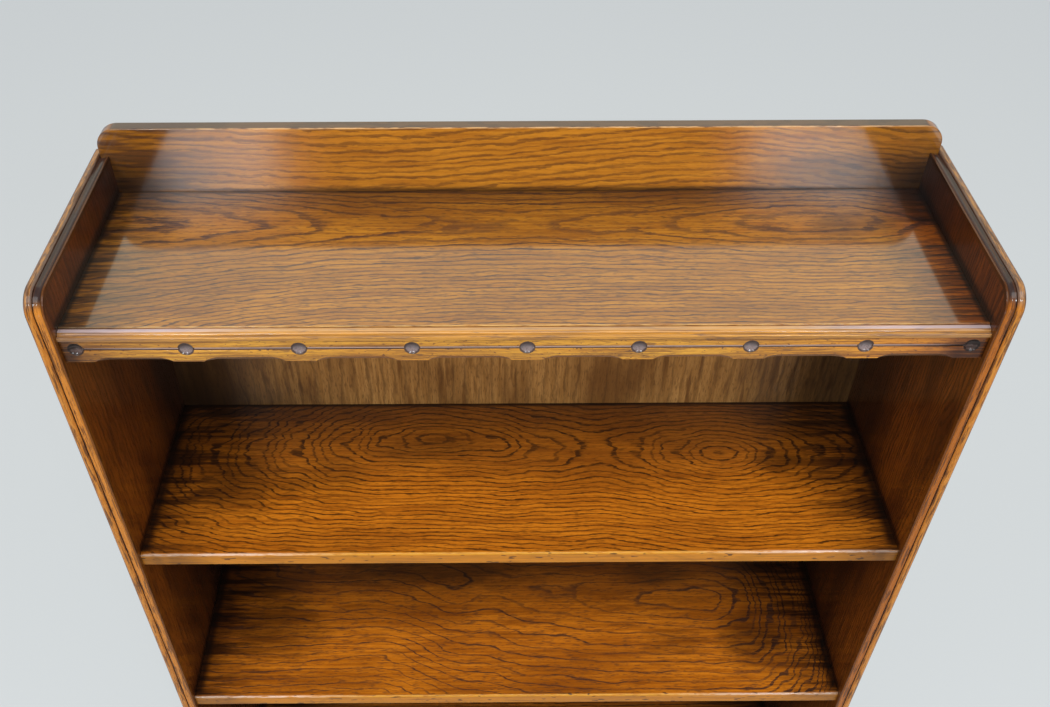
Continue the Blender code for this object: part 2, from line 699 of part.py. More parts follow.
def screw_places():
    """Where the gallery screws go in, as (x, z): the top board's edge and both sides."""
    top_middle = TOP_LEVEL - BOARD_THICKNESS / 2
    places = {}
    for index, share in enumerate(SCREW_PLACE_SHARES, 1):
        places[f"gallery_screw_top_{index}"] = (share * CLEAR_WIDTH, top_middle)
    places["gallery_screw_left"] = (-LAP_CENTRE, SIDE_HEIGHT - SIDE_SCREW_DROP)
    places["gallery_screw_right"] = (LAP_CENTRE, SIDE_HEIGHT - SIDE_SCREW_DROP)
    return places


def bay_pin_heights():
    """Heights of the pins in the sides, two in each bay, clear of the housings."""
    bays = [
        (BOTTOM_BOARD_HEIGHT, LOWER_SHELF_LEVEL - BOARD_THICKNESS),
        (LOWER_SHELF_LEVEL, UPPER_SHELF_LEVEL - BOARD_THICKNESS),
        (UPPER_SHELF_LEVEL, GALLERY_BOTTOM),
    ]
    return [low + (high - low) * share for low, high in bays for share in BAY_PIN_SHARES]


def pin_places():
    """Where the back pins go in, as (x, z)."""
    places = {}
    for index, height in enumerate(bay_pin_heights(), 1):
        places[f"back_pin_left_{index}"] = (-LAP_CENTRE, height)
        places[f"back_pin_right_{index}"] = (LAP_CENTRE, height)
    rows = {
        "gallery": (GALLERY_BOTTOM + PANEL_TOP) / 2,
        "upper_shelf": UPPER_SHELF_LEVEL - BOARD_THICKNESS / 2,
        "lower_shelf": LOWER_SHELF_LEVEL - BOARD_THICKNESS / 2,
        "bottom_board": BOTTOM_BOARD_HEIGHT - BOARD_THICKNESS / 2,
    }
    for row, height in rows.items():
        for index, share in enumerate(BOARD_PIN_PLACE_SHARES, 1):
            places[f"back_pin_{row}_{index}"] = (share * CLEAR_WIDTH, height)
    return places


def matching(cutters_by_name, words):
    return [cutter for name, cutter in cutters_by_name.items() if words in name]


def make_bookcase():
    parts = new_collection("open_front_bookcase")
    cutters = new_collection("bookcase_cutters")
    screw_holes = make_screws(screw_places(), parts, cutters)
    pin_holes = make_pins(pin_places(), parts, cutters)
    left_holes = matching(screw_holes, "screw_left") + matching(pin_holes, "pin_left")
    left_side = make_left_side(parts, cutters, left_holes)
    make_right_side(left_side, parts)
    make_top_board(parts, cutters, matching(screw_holes, "screw_top"))
    shelves = {
        "upper_shelf": UPPER_SHELF_LEVEL,
        "lower_shelf": LOWER_SHELF_LEVEL,
        "bottom_board": BOTTOM_BOARD_HEIGHT,
    }
    for name, level in shelves.items():
        make_shelf(name, level, parts, cutters, matching(pin_holes, "pin_" + name))
    gallery_holes = list(screw_holes.values()) + matching(pin_holes, "pin_gallery")
    make_gallery(parts, cutters, gallery_holes)
    make_frieze(parts, cutters)
    make_back_panel(parts, list(pin_holes.values()))
    make_plinth(parts)
    make_blocks(parts)


clear_scene()
make_bookcase()
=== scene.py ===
import math

import bmesh
import bpy
from mathutils import Matrix, Vector, noise


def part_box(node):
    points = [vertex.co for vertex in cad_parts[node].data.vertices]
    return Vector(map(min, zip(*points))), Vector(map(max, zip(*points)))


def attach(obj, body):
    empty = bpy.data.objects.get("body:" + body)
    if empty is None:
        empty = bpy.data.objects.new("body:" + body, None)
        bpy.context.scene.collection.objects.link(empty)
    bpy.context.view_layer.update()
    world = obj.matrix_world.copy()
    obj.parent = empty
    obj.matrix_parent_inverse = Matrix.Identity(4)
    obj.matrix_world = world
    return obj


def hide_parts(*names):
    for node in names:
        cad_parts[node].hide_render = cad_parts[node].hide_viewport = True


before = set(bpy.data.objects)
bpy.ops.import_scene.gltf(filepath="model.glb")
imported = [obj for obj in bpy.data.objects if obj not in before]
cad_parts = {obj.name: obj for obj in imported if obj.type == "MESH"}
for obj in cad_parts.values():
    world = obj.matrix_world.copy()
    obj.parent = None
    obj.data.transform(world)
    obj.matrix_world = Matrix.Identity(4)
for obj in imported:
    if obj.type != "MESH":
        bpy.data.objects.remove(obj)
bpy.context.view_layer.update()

print("frame loaded:", len(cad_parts), "nodes")


# Node trees: a Wire is one socket, so that node maths reads as Python

def maths(operation, *terms):
    return wired("ShaderNodeMath", dict(enumerate(terms)), operation=operation)


def operator(operation, swapped=False):
    def apply(self, other):
        return maths(operation, *((other, self) if swapped else (self, other)))
    return apply


class Wire:
    def __init__(self, bench, socket):
        self.bench = bench
        self.socket = socket

    def __abs__(self):
        return maths("ABSOLUTE", self)

    __add__ = __radd__ = operator("ADD")
    __mul__ = __rmul__ = operator("MULTIPLY")
    __sub__, __rsub__ = operator("SUBTRACT"), operator("SUBTRACT", swapped=True)
    __truediv__, __rtruediv__ = operator("DIVIDE"), operator("DIVIDE", swapped=True)


class Bench:  # a tree that nodes are added to
    def __init__(self, tree):
        self.tree = tree
        tree.nodes.clear()

    def node(self, kind, values=None, out=0, **settings):
        made = self.tree.nodes.new(kind)
        for key, setting in settings.items():
            setattr(made, key, setting)
        for key, value in (values or {}).items():
            socket = made.inputs[key]
            if isinstance(value, Wire):
                self.tree.links.new(value.socket, socket)
            elif isinstance(value, tuple) and len(value) == 3 and socket.type == "RGBA":
                socket.default_value = (*value, 1.0)
            else:
                socket.default_value = value
        return Wire(self, made.outputs[out]) if made.outputs else made


def wired(kind, values, out=0, **settings):  # a node beside the first wire among its values
    bench = next(value.bench for value in values.values() if isinstance(value, Wire))
    return bench.node(kind, values, out, **settings)


def outputsOf(wire):  # all outputs of the wire's node, by name
    return {socket.name: Wire(wire.bench, socket) for socket in wire.socket.node.outputs}


def highest(first, *others):
    for other in others:
        first = maths("MAXIMUM", first, other)
    return first


def distance(across, along):
    return maths("SQRT", across * across + along * along)


def ramp(value, low, high):  # 0 below low, 1 above high, turned round if low is the higher
    limits = {"Value": value, "From Min": low, "From Max": high}
    return wired("ShaderNodeMapRange", limits, interpolation_type="SMOOTHSTEP")


def within(value, low, high, soft):  # 1 between low and high
    return ramp(value, low - soft, low) * ramp(value, high + soft, high)


def graph(value, knots):  # a smooth line through (place, height) knots, or one height all along
    if isinstance(knots, float):
        return knots
    total = knots[0][1]
    for (place, height), (nextPlace, nextHeight) in zip(knots, knots[1:]):
        total = ramp(value, place, nextPlace) * (nextHeight - height) + total
    return total


def vector(x, y, z):
    return wired("ShaderNodeCombineXYZ", {0: x, 1: y, 2: z})


def cloud(x, y, z, detail=2.0, roughness=0.5):
    values = {"Vector": vector(x, y, z), "Scale": 1.0, "Detail": detail, "Roughness": roughness}
    return wired("ShaderNodeTexNoise", values)


def blend(share, first, second, mode="MIX"):
    return wired("ShaderNodeMix", {0: share, 6: first, 7: second}, 2, data_type="RGBA", blend_type=mode)


def painted(colour, tints, **shares):  # lays one tint after another over the colour
    for name, share in shares.items():
        colour = blend(share, colour, tints[name])
    return colour


# Meshes

carcase = dict(
    width=0.914, depth=0.254, sideHeight=1.219, sideThickness=0.019, boardThickness=0.018, gap=0.0003,
    housingDepth=0.006, rebateWidth=0.01, tongueDrop=0.003, overrun=0.002, boardStations=72)
gap, over = carcase["gap"], carcase["overrun"]
frontFace, backFace = -carcase["depth"] / 2, carcase["depth"] / 2
innerFace = carcase["width"] / 2 - carcase["sideThickness"]
boardEnd = innerFace + carcase["housingDepth"] - gap
stage = bpy.context.scene.collection


def spaced(low, high, count):  # from low to high in even steps
    return [low + (high - low) * step / count for step in range(count + 1)]


def arc(centre, radius, start, turn, steps):
    across, high = radius if isinstance(radius, tuple) else (radius, radius)
    angles = [math.radians(angle) for angle in spaced(start, start + turn, steps)]
    return [(centre[0] + across * math.cos(angle), centre[1] + high * math.sin(angle)) for angle in angles]


def placeObject(name, data):
    placed = bpy.data.objects.new(name, data)
    stage.objects.link(placed)
    return placed


def closedPiece(name, points, faces):
    mesh = bpy.data.meshes.new(name)
    mesh.from_pydata(points, [], faces)
    bm = bmesh.new()
    bm.from_mesh(mesh)
    bmesh.ops.remove_doubles(bm, verts=bm.verts, dist=1e-6)
    bmesh.ops.recalc_face_normals(bm, faces=bm.faces)
    bm.to_mesh(mesh)
    bm.free()
    return placeObject(name, mesh)


def loft(name, rings):  # a closed skin over rings of points, with a flat face at each end
    count = len(rings[0])
    points = [point for ring in rings for point in ring]
    last = len(points) - count
    faces = []
    for start in range(0, last, count):
        for index in range(count):
            after = (index + 1) % count
            faces.append((start + index, start + after, start + count + after, start + count + index))
    faces.append(tuple(range(count)))
    faces.append(tuple(range(last, last + count)))
    return closedPiece(name, points, faces)


def prism(name, outline, along, ends):  # an outline drawn out along one axis
    slot = "XYZ".index(along)
    return loft(name, [[(*corner[:slot], end, *corner[slot:]) for corner in outline] for end in ends])


def block(name, low, high):
    corners = [(low[0], low[1]), (high[0], low[1]), (high[0], high[1]), (low[0], high[1])]
    return prism(name, corners, "Z", (low[2], high[2]))


def turned(name, profile, segments):  # (radius, y) points about the Y axis, from end to end
    angles = spaced(0, 2 * math.pi, segments)[:-1]
    return loft(name, [[(radius * math.cos(angle), y, radius * math.sin(angle)) for angle in angles]
                       for radius, y in profile])


def settle(piece):  # turns the modifiers' result into the piece's own plain mesh
    bpy.context.view_layer.update()
    depsgraph = bpy.context.evaluated_depsgraph_get()
    mesh = bpy.data.meshes.new_from_object(piece.evaluated_get(depsgraph))
    piece.modifiers.clear()
    piece.data = mesh


def remove(helper):
    bpy.data.objects.remove(helper, do_unlink=True)


def carve(piece, cutters):
    for cutter in cutters:
        tool = piece.modifiers.new(cutter.name, "BOOLEAN")
        tool.operation = "DIFFERENCE"
        tool.solver = "EXACT"
        tool.object = cutter
    settle(piece)
    for cutter in cutters:
        remove(cutter)


def finishPiece(piece, nodes, material=None, sharpAngle=32):
    if material:
        piece.data.materials.clear()
        piece.data.materials.append(material)
    piece.data.shade_smooth()
    piece.data.set_sharp_from_angle(angle=math.radians(sharpAngle))
    weigh = piece.modifiers.new("weighNormals", "WEIGHTED_NORMAL")
    weigh.keep_sharp = True
    settle(piece)
    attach(piece, "root")
    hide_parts(*nodes)


# Geometry Nodes: one tree lays a board's section along the case, one sets out fasteners

def newTree(name, inputs):
    tree = bpy.data.node_groups.new(name, "GeometryNodeTree")
    for label, kind in {"Geometry": "Geometry", **inputs, "Finish": "Material"}.items():
        tree.interface.new_socket(label, in_out="INPUT", socket_type="NodeSocket" + kind)
    tree.interface.new_socket("Geometry", in_out="OUTPUT", socket_type="NodeSocketGeometry")
    bench = Bench(tree)
    return bench, outputsOf(bench.node("NodeGroupInput"))


def closeTree(shape, finish):
    real = wired("GeometryNodeRealizeInstances", {"Geometry": shape})
    done = wired("GeometryNodeSetMaterial", {"Geometry": real, "Material": finish})
    wired("NodeGroupOutput", {"Geometry": done})
    return shape.bench.tree


def runTree(piece, tree, values):
    grow = piece.modifiers.new(tree.name, "NODES")
    grow.node_group = tree
    for item in tree.interface.items_tree:
        if item.in_out == "INPUT" and item.name in values:
            grow[item.identifier] = values[item.name]
    settle(piece)


def boardTree():
    bench, given = newTree("boardAlongCase", {"Section": "Object", "Half Length": "Float", "Stations": "Int",
                                              "Wave": "Float", "Seed": "Float"})
    section = wired("GeometryNodeObjectInfo", {"Object": given["Section"]}, "Geometry")
    start, stop = vector(given["Half Length"] * -1, 0.0, 0.0), vector(given["Half Length"], 0.0, 0.0)
    line = wired("GeometryNodeCurvePrimitiveLine", {"Start": start, "End": stop})
    path = wired("GeometryNodeResampleCurve", {"Curve": line, "Count": given["Stations"]})
    board = wired("GeometryNodeCurveToMesh", {"Curve": path, "Profile Curve": section, "Fill Caps": True})
    place = bench.node("GeometryNodeInputPosition")
    shifted = wired("ShaderNodeVectorMath", {0: place, 1: vector(given["Seed"], 0.0, 0.0)}, operation="ADD")
    ripple = wired("ShaderNodeTexNoise", {"Vector": shifted, "Scale": 14.0, "Detail": 1.0}, "Color")
    centred = wired("ShaderNodeVectorMath", {0: ripple, 1: (0.5, 0.5, 0.5)}, operation="SUBTRACT")
    reach = vector(0.0, given["Wave"], given["Wave"])
    push = wired("ShaderNodeVectorMath", {0: centred, 1: reach}, operation="MULTIPLY")
    return closeTree(wired("GeometryNodeSetPosition", {"Geometry": board, "Offset": push}), given["Finish"])


def fastenerTree():
    given = newTree("fastenersFromBehind", {"Fastener": "Object", "Size": "Float", "Seed": "Int"})[1]
    places = wired("GeometryNodeMeshToPoints", {"Mesh": given["Geometry"]})
    fastener = wired("GeometryNodeObjectInfo", {"Object": given["Fastener"]}, "Geometry")
    limits = {"Min": 0.0, "Max": math.pi, "Seed": given["Seed"]}
    turn = wired("FunctionNodeRandomValue", limits, 1, data_type="FLOAT")
    spread = wired("GeometryNodeInstanceOnPoints", {
        "Points": places, "Instance": fastener, "Rotation": vector(0.0, turn, 0.0),
        "Scale": vector(given["Size"], given["Size"], given["Size"])})
    return closeTree(spread, given["Finish"])


boardNodes = boardTree()
fastenerNodes = fastenerTree()


def layBoard(name, section, halfLength, own, finish):
    curve = bpy.data.curves.new(name + "Section", "CURVE")
    curve.dimensions = "3D"
    spline = curve.splines.new("POLY")
    spline.points.add(len(section) - 1)
    for point, (y, z) in zip(spline.points, section):
        point.co = (-y, -z, 0, 1)
    spline.use_cyclic_u = True
    guide = placeObject(name + "Section", curve)
    board = placeObject(name, bpy.data.meshes.new(name))
    runTree(board, boardNodes, {
        "Section": guide, "Half Length": halfLength, "Stations": carcase["boardStations"],
        "Wave": own["wave"], "Seed": own["waveSeed"], "Finish": finish})
    remove(guide)
    return board


def boardRear(level, rear):  # the start of a board's section: its rear edge and its flat top
    flat = [(rear - rear * 0.3 * step, level) for step in range(7)]
    return [(rear, level - carcase["boardThickness"]), *flat]


def notchEnds(board, level, front, tongueFront):  # leaves a tongue at both ends of a board
    floor, shoulder = level - carcase["boardThickness"] - over, level - carcase["tongueDrop"]
    outline = [(front - over, floor), (tongueFront, floor), (tongueFront, shoulder),
               (backFace + over, shoulder), (backFace + over, level + over), (front - over, level + over)]
    inner, outer = innerFace - gap, boardEnd + over
    carve(board, [prism("notch", outline, "X", ends) for ends in ((-outer, -inner), (inner, outer))])


# Oak

# Tints for painted shade in corners and at ends, mixed with old polish and dust
shadeAndGrimeTints = dict(dark=(0.11, 0.092, 0.095), deepShadeAndDust=(0.026, 0.017, 0.013))


def ringField(look, along, across, through):  # distance from the tree's heart, in metres
    seed = look["seed"]
    jag = cloud(along * 7, across * 85, through * 85 + seed, 2.0, 0.6) - 0.5
    along = jag * look["jag"] + along
    drift = cloud(along * look["driftAlong"], across * look["driftAcross"], seed, 2.0) - 0.5
    wave = cloud(along * 26, across * 60, through * 60 + seed, 1.0) - 0.5
    spread = across - graph(along, look["heartAcross"])
    deep = graph(along, look["heartDepth"]) + (look["face"] - through)
    reach = distance(spread, deep) * graph(along, look["fan"])
    return reach + drift * look["driftAmount"] + wave * look["waveAmount"]


def oakColour(look, along, across, through):
    seed, soft = look["seed"], look["lineSoft"]
    field = ringField(look, along, across, through)
    fray = cloud(along * 55, across * 170, through * 170 + seed, 3.0, 0.6) - 0.5
    uneven = cloud(field / (look["ring"] * 4.0), seed + 3.7, 0.0, 0.0) - 0.5
    tight = highest(field - look["tightFrom"], 0.0) * look["tighter"]
    turn = (field + fray * look["fray"]) / look["ring"] + tight + uneven * 1.4
    part, number = maths("FRACT", turn), maths("FLOOR", turn)
    width = ramp(along, 0.29, 0.34) * look["boldEnd"] + look["lineWidth"]
    early = ramp(part, 0.0, soft * 0.43) * ramp(part, width + soft, width)
    bold = ramp(cloud(number * 0.77 + seed, along * 3.5, across * 8, 1.0), 0.28, 0.6)
    dash = cloud(along / 0.02, across / 0.0019, through / 0.0019 + seed, 2.0, 0.65)
    pore = cloud(along / 0.006, across / 0.00075, through / 0.00075, 1.0, 0.5)
    fibre = cloud(along / 0.1, across / 0.0034, through / 0.0034 + seed, 4.0, 0.7)
    patch = cloud(along * 4.5, across * 15, seed * 1.7, 2.0)
    streak = cloud(along * 13, across * 110, through * 110 + seed * 3, 2.0, 0.6)
    grit = cloud(along / 0.0105, across / 0.0015, through / 0.0015 + seed * 2, 1.0, 0.5)
    line = early * (ramp(dash, 0.34, 0.54) * 0.6 + 0.4) * (bold * 0.4 + 0.6)
    speck = ramp(pore, 0.58, 0.68) * (early * 0.7 + 0.3)
    stray = ramp(grit, 0.52, 0.7) * look["strayShare"]
    base = blend(ramp(fibre, 0.3, 0.7), look["mid"], look["light"])
    base = blend(ramp(patch, 0.4, 0.72) * look["patchShare"], base, look["deep"])
    base = blend(ramp(streak, 0.5, 0.72) * look["streakShare"], base, look["deep"])
    base = blend(highest(line * look["lineShare"], stray), base, look["dark"])
    base = blend(speck * look["poreShare"], base, look["pore"])
    return base, look["rough"] + speck * 0.12 + line * 0.05, 1 - speck * 0.7 - line * 0.3


def newMaterial(name):
    material = bpy.data.materials.new(name)
    material.use_nodes = True
    return material, Bench(material.node_tree)


def surfacePlace(bench):  # the wires X, Y and Z
    return outputsOf(bench.node("ShaderNodeSeparateXYZ", {0: bench.node("ShaderNodeTexCoord", None, "Object")}))


def closeMaterial(strength, reach, height, values):
    bump = wired("ShaderNodeBump", {"Strength": strength, "Distance": reach, "Height": height})
    shader = wired("ShaderNodeBsdfPrincipled", {"Normal": bump, **values})
    wired("ShaderNodeOutputMaterial", {"Surface": shader})


def oakMaterial(name, look, shade=None, *marks):
    material, bench = newMaterial(name)
    axes = surfacePlace(bench)
    along, across, through = (axes[letter] for letter in look["order"])
    if look["mirrored"]:
        through = abs(through)
    colour, rough, height = oakColour(look, along, across, through)
    dull = 0.0
    if shade:
        colour, dull = shade(axes["X"], axes["Y"], axes["Z"], colour, *marks)
    closeMaterial(0.25, look["bump"], height, {
        "Base Color": colour, "Roughness": rough, "IOR": 1.5, "Specular IOR Level": look["gleam"],
        "Coat Weight": (1 - dull) * look["coat"], "Coat Roughness": look["coatRough"], "Coat IOR": 1.5})
    return material


def shadeAndGrime(colour, share):  # painted shade in corners, at ends and towards the back, together with old polish and dust: dark and a little cold
    return blend(share * 0.18, blend(share, colour, shadeAndGrimeTints["dark"], "MULTIPLY"), shadeAndGrimeTints["deepShadeAndDust"])


def withDarkPatches(colour, x, y, stains):  # soft dark places, stains and painted shade by the sides and in corners: (x, y, half length, half width, share)
    edge = cloud(x * 24, y * 60, 4.1, 3.0, 0.6) - 0.5
    for placeX, placeY, reachX, reachY, share in stains:
        away = distance((x - placeX) / reachX, (y - placeY) / reachY) + edge * 0.9
        colour = shadeAndGrime(colour, ramp(away, 1.0, 0.25) * share)
    return colour


def tigerShare(x, across, seed):  # streaky share, along the grain, of the painted shade and dirt at a board's ends
    return ramp(cloud(x * 10, across * 120, seed, 3.0, 0.6), 0.42, 0.58) * 0.55 + 0.45


plainOak = dict(
    order="XYZ", mirrored=False, seed=1.0, face=0.0,  # along, across and through the board, and its face
    driftAlong=5.0, driftAcross=14.0, driftAmount=0.01, waveAmount=0.004,
    heartAcross=-0.05, heartDepth=0.03, fan=1.0,
    ring=0.006, fray=0.0042, jag=0.02, lineWidth=0.26, lineSoft=0.26, boldEnd=0.0, tightFrom=0.07, tighter=50.0,
    light=(0.64, 0.202, 0.011), mid=(0.36, 0.097, 0.005), deep=(0.2, 0.05, 0.004),
    dark=(0.062, 0.018, 0.003), pore=(0.032, 0.01, 0.003),
    lineShare=1.0, poreShare=0.55, patchShare=0.5, streakShare=0.35, strayShare=0.5,
    rough=0.36, gleam=0.1, coat=0.9, coatRough=0.11, bump=0.0004)


# Top board

top = dict(
    level=1.173, setback=0.0046, stepSetback=0.0104, stepDepth=0.0013, topArris=0.0005, ovolo=(0.007, 0.0034),
    ovoloSteps=14, filletHeight=0.0042, filletArris=0.0009, footRadius=0.0004, tongueFront=-0.1043,
    rebateShoulder=-0.1063, rear=0.1127, wave=0.0005, waveSeed=1.7,
    look=dict(
        plainOak, seed=2.3, face=1.173, ring=0.0074, lineWidth=0.22, lineSoft=0.2, tightFrom=0.075,
        tighter=60.0, waveAmount=0.0064, strayShare=0.6, heartAcross=0.05,
        light=(0.44, 0.18, 0.014), mid=(0.245, 0.081, 0.007), deep=(0.145, 0.043, 0.005),
        dark=(0.056, 0.021, 0.013), pore=(0.04, 0.02, 0.016),
        heartDepth=[(-0.44, 0.027), (-0.35, 0.03), (-0.26, 0.037), (-0.16, 0.044), (0.0, 0.049),
                    (0.1175, 0.044), (0.1875, 0.037), (0.25, 0.03), (0.31, 0.0248), (0.345, 0.026),
                    (0.44, 0.04)],
        fan=[(-0.46, 0.7), (-0.16, 1.0), (0.46, 1.04)]),
    tints=dict(nose=(0.52, 0.235, 0.034), streak=(0.15, 0.064, 0.024), blot=(0.085, 0.046, 0.04),
               tip=(0.185, 0.1, 0.072), noseSheen=(0.6, 0.42, 0.27), noseEndSheen=(0.54, 0.45, 0.5),
               stepShadow=(0.13, 0.04, 0.01), arris=(0.64, 0.37, 0.11), rightEnd=(1.0, 0.66, 0.6)),
    stains=[(0.335, 0.045, 0.045, 0.035, 0.45), (-0.43, 0.02, 0.026, 0.08, 0.2),
            (0.428, 0.088, 0.04, 0.05, 0.6)])


def topShade(x, y, z, colour):
    tints, level, rear = top["tints"], top["level"], top["rear"]
    step = frontFace + top["setback"] + top["stepSetback"]
    apart = abs(x)
    spots = cloud(x * 60, y * 500, z * 500, 2.0, 0.6)
    streaks = cloud(x * 11, y * 650, z * 650, 3.0, 0.6)
    blots = ramp(cloud(x * 26, y * 240, z * 240, 3.0, 0.7), 0.57, 0.66)
    nose = ramp(y, step, step - 0.001)
    tips = nose * ramp(apart, 0.3, 0.44) * (0.3 + ramp(streaks, 0.38, 0.58) * 0.55)
    colour = painted(colour, tints, nose=nose * (0.6 + spots * 0.5),
                     streak=nose * ramp(streaks, 0.47, 0.62) * 0.7, blot=nose * blots * 0.6, tip=tips)
    # Painted highlight: a pale band on the upper ovolo, whiter and lilac towards the ends, standing in for
    # reflected light along the nosing
    pale = within(y, step - 0.0042, step - 0.0014, 0.0008) * (0.45 + spots * 0.5)
    noseSheen = blend(ramp(apart, 0.22, 0.36), tints["noseSheen"], tints["noseEndSheen"])
    colour = blend(pale * (ramp(apart, 0.18, 0.36) * 0.48 + 0.5), colour, noseSheen)
    shadow = within(y, step - 0.0006, step + 0.0001, 0.0003) * ramp(z, level - 0.0002, level - 0.0006)
    # The pale step arris is wear and a painted highlight
    arris = within(y, step + 0.0002, step + 0.001, 0.0006) * ramp(spots, 0.3, 0.6)
    colour = painted(colour, tints, stepShadow=shadow * 0.8, arris=arris * 0.6)
    # Painted shade with dirt: darker into the joints with the sides and the gallery, towards both ends and
    # towards the back
    seam = highest(ramp(apart, innerFace - 0.0075, innerFace - 0.0015),
                   ramp(y, rear - 0.0057, rear - 0.0007) * 0.7) * ramp(y, step, step + 0.004)
    ends = ramp(apart, 0.335, 0.442) * tigerShare(x, y, 3.3) * (1 - nose * 0.6)
    colour = blend(ramp(x, 0.37, 0.43) * (1 - nose), colour, tints["rightEnd"], "MULTIPLY")
    colour = shadeAndGrime(shadeAndGrime(colour, ends * 0.94), ramp(y, 0.045, 0.114) * 0.52)
    colour = withDarkPatches(colour, x, y, top["stains"])
    return shadeAndGrime(colour, seam * 0.95), highest(seam * 0.6, nose * 0.35)


def makeTopBoard():
    level, corner, arris, foot = top["level"], top["topArris"], top["filletArris"], top["footRadius"]
    front = frontFace + top["setback"]
    step = front + top["stepSetback"]
    fillet = level - top["stepDepth"] - top["ovolo"][1]
    lip = fillet - top["filletHeight"]
    section = boardRear(level, top["rear"])
    section += arc((step + corner, level - corner), corner, 90, 90, 3)
    section += arc((step, fillet), top["ovolo"], 90, 90, top["ovoloSteps"])
    section += arc((front + arris, fillet - arris), arris, 90, 90, 5)
    section += arc((front + foot, lip + foot), foot, 180, 90, 3)
    section += [(top["rebateShoulder"], lip), (top["rebateShoulder"], level - carcase["boardThickness"])]
    board = layBoard("topBoard", section, boardEnd, top, oakMaterial("topOak", top["look"], topShade))
    notchEnds(board, level, front, top["tongueFront"])
    finishPiece(board, ["top_board"])


makeTopBoard()
print("top board made")


# Shelves and the bottom board

shelf = dict(
    setback=0.0062, arris=0.003, arrisSteps=8, foot=0.001, footSteps=4, tongueStop=0.012, rear=0.1217,
    tints=dict(edge=(0.5, 0.19, 0.012), streak=(0.19, 0.062, 0.01), worn=(0.6, 0.285, 0.03),
               endSheen=(0.66, 0.47, 0.36), ding=(0.05, 0.022, 0.012)))
upperShelf = dict(
    level=0.831, wave=0.0006, waveSeed=3.1,
    look=dict(
        plainOak, seed=5.1, face=0.831, ring=0.0064, lineWidth=0.21, lineSoft=0.18, tightFrom=0.1, tighter=20.0,
        driftAlong=7.0, driftAcross=18.0, driftAmount=0.016,
        heartAcross=[(-0.44, 0.034), (-0.11, 0.06), (0.06, 0.045), (0.2525, 0.032), (0.44, 0.03)],
        heartDepth=[(-0.44, 0.135), (-0.38, 0.114), (-0.33, 0.095), (-0.28, 0.074), (-0.22, 0.048),
                    (-0.17, 0.026), (-0.11, 0.01), (-0.03, 0.024), (0.03, 0.04), (0.1, 0.053), (0.15, 0.044),
                    (0.2, 0.026), (0.2525, 0.006), (0.32, 0.03), (0.38, 0.05), (0.44, 0.066)]),
    stains=[(-0.335, -0.015, 0.085, 0.066, 0.58), (-0.235, -0.005, 0.07, 0.05, 0.34),
            (-0.11, 0.042, 0.09, 0.034, 0.32), (0.325, 0.018, 0.045, 0.026, 0.5),
            (-0.425, 0.0, 0.026, 0.12, 0.45), (0.43, -0.01, 0.024, 0.11, 0.5)])
lowerShelf = dict(
    level=0.511, wave=0.0006, waveSeed=6.4,
    look=dict(
        plainOak, seed=8.4, face=0.511, ring=0.015, lineWidth=0.1, lineSoft=0.12, tightFrom=0.15, tighter=20.0,
        fray=0.0028, jag=0.012, waveAmount=0.01, driftAmount=0.024, boldEnd=0.16,
        patchShare=0.7, streakShare=0.6, strayShare=0.6, dark=(0.07, 0.028, 0.016),
        heartAcross=[(-0.44, 0.095), (-0.2, 0.11), (-0.06, 0.06), (0.02, 0.04), (0.12, 0.034), (0.44, 0.03)],
        heartDepth=[(-0.44, 0.06), (-0.25, 0.02), (-0.1, 0.03), (-0.03, 0.044), (0.06, 0.034), (0.15, 0.02),
                    (0.2775, 0.006), (0.33, 0.034), (0.37, 0.086), (0.4, 0.13), (0.44, 0.19)]),
    stains=[(-0.335, -0.015, 0.09, 0.07, 0.5), (-0.12, 0.086, 0.23, 0.044, 0.68),
            (0.335, -0.035, 0.075, 0.055, 0.58), (0.215, 0.078, 0.09, 0.03, 0.45),
            (0.225, -0.04, 0.06, 0.035, 0.3), (-0.425, 0.01, 0.028, 0.12, 0.4),
            (0.432, -0.01, 0.026, 0.12, 0.5)])
bottomBoard = dict(
    level=0.127, wave=0.0006, waveSeed=9.9, look=dict(plainOak, seed=12.9, face=0.127, ring=0.009),
    stains=[(-0.18, 0.03, 0.12, 0.05, 0.4)])
shelfLevels = [own["level"] for own in (upperShelf, lowerShelf, bottomBoard)]


def shelfShade(x, y, z, colour, own):
    tints, arris, rear, level = shelf["tints"], shelf["arris"], shelf["rear"], own["level"]
    front = frontFace + shelf["setback"]
    apart = abs(x)
    spots = cloud(x * 70, y * 500, z * 500, 2.0, 0.6)
    streaks = cloud(x * 12, y * 520, z * 520, 3.0, 0.6)
    edge = ramp(y, front + arris * 1.2, front + arris * 0.4)
    colour = painted(colour, tints, edge=edge * 0.8, streak=edge * ramp(streaks, 0.5, 0.64) * 0.55)
    # The pale upper arris is wear and a painted highlight, turning to a painted whitish reflection towards the
    # ends
    worn = edge * ramp(z, level - arris * 0.95, level - arris * 0.45) * ramp(spots, 0.3, 0.55)
    colour = blend(worn * 0.75, colour, blend(ramp(apart, 0.18, 0.34), tints["worn"], tints["endSheen"]))
    dings = ramp(cloud(x * 75, y * 260, z * 260, 1.0), 0.66, 0.72) * ramp(y, front + arris * 2, front + arris)
    colour = blend(dings * 0.8, colour, tints["ding"])
    # Painted shade with dirt: darker into the joints with the sides and the back, towards both ends (more so
    # further back) and towards the back
    seam = highest(ramp(apart, innerFace - 0.015, innerFace - 0.004),
                   ramp(y, rear - 0.008, rear - 0.002)) * ramp(y, front + arris, front + arris * 4)
    ends = ramp(apart + (y - frontFace) * 0.36, 0.335, 0.455) * tigerShare(x, y, level * 9)
    colour = shadeAndGrime(shadeAndGrime(colour, ends * 0.95), ramp(y, -0.03, 0.12) * 0.66)
    colour = withDarkPatches(colour, x, y, own["stains"])
    return shadeAndGrime(colour, seam * 0.95), highest(seam * 0.6, edge * 0.75)


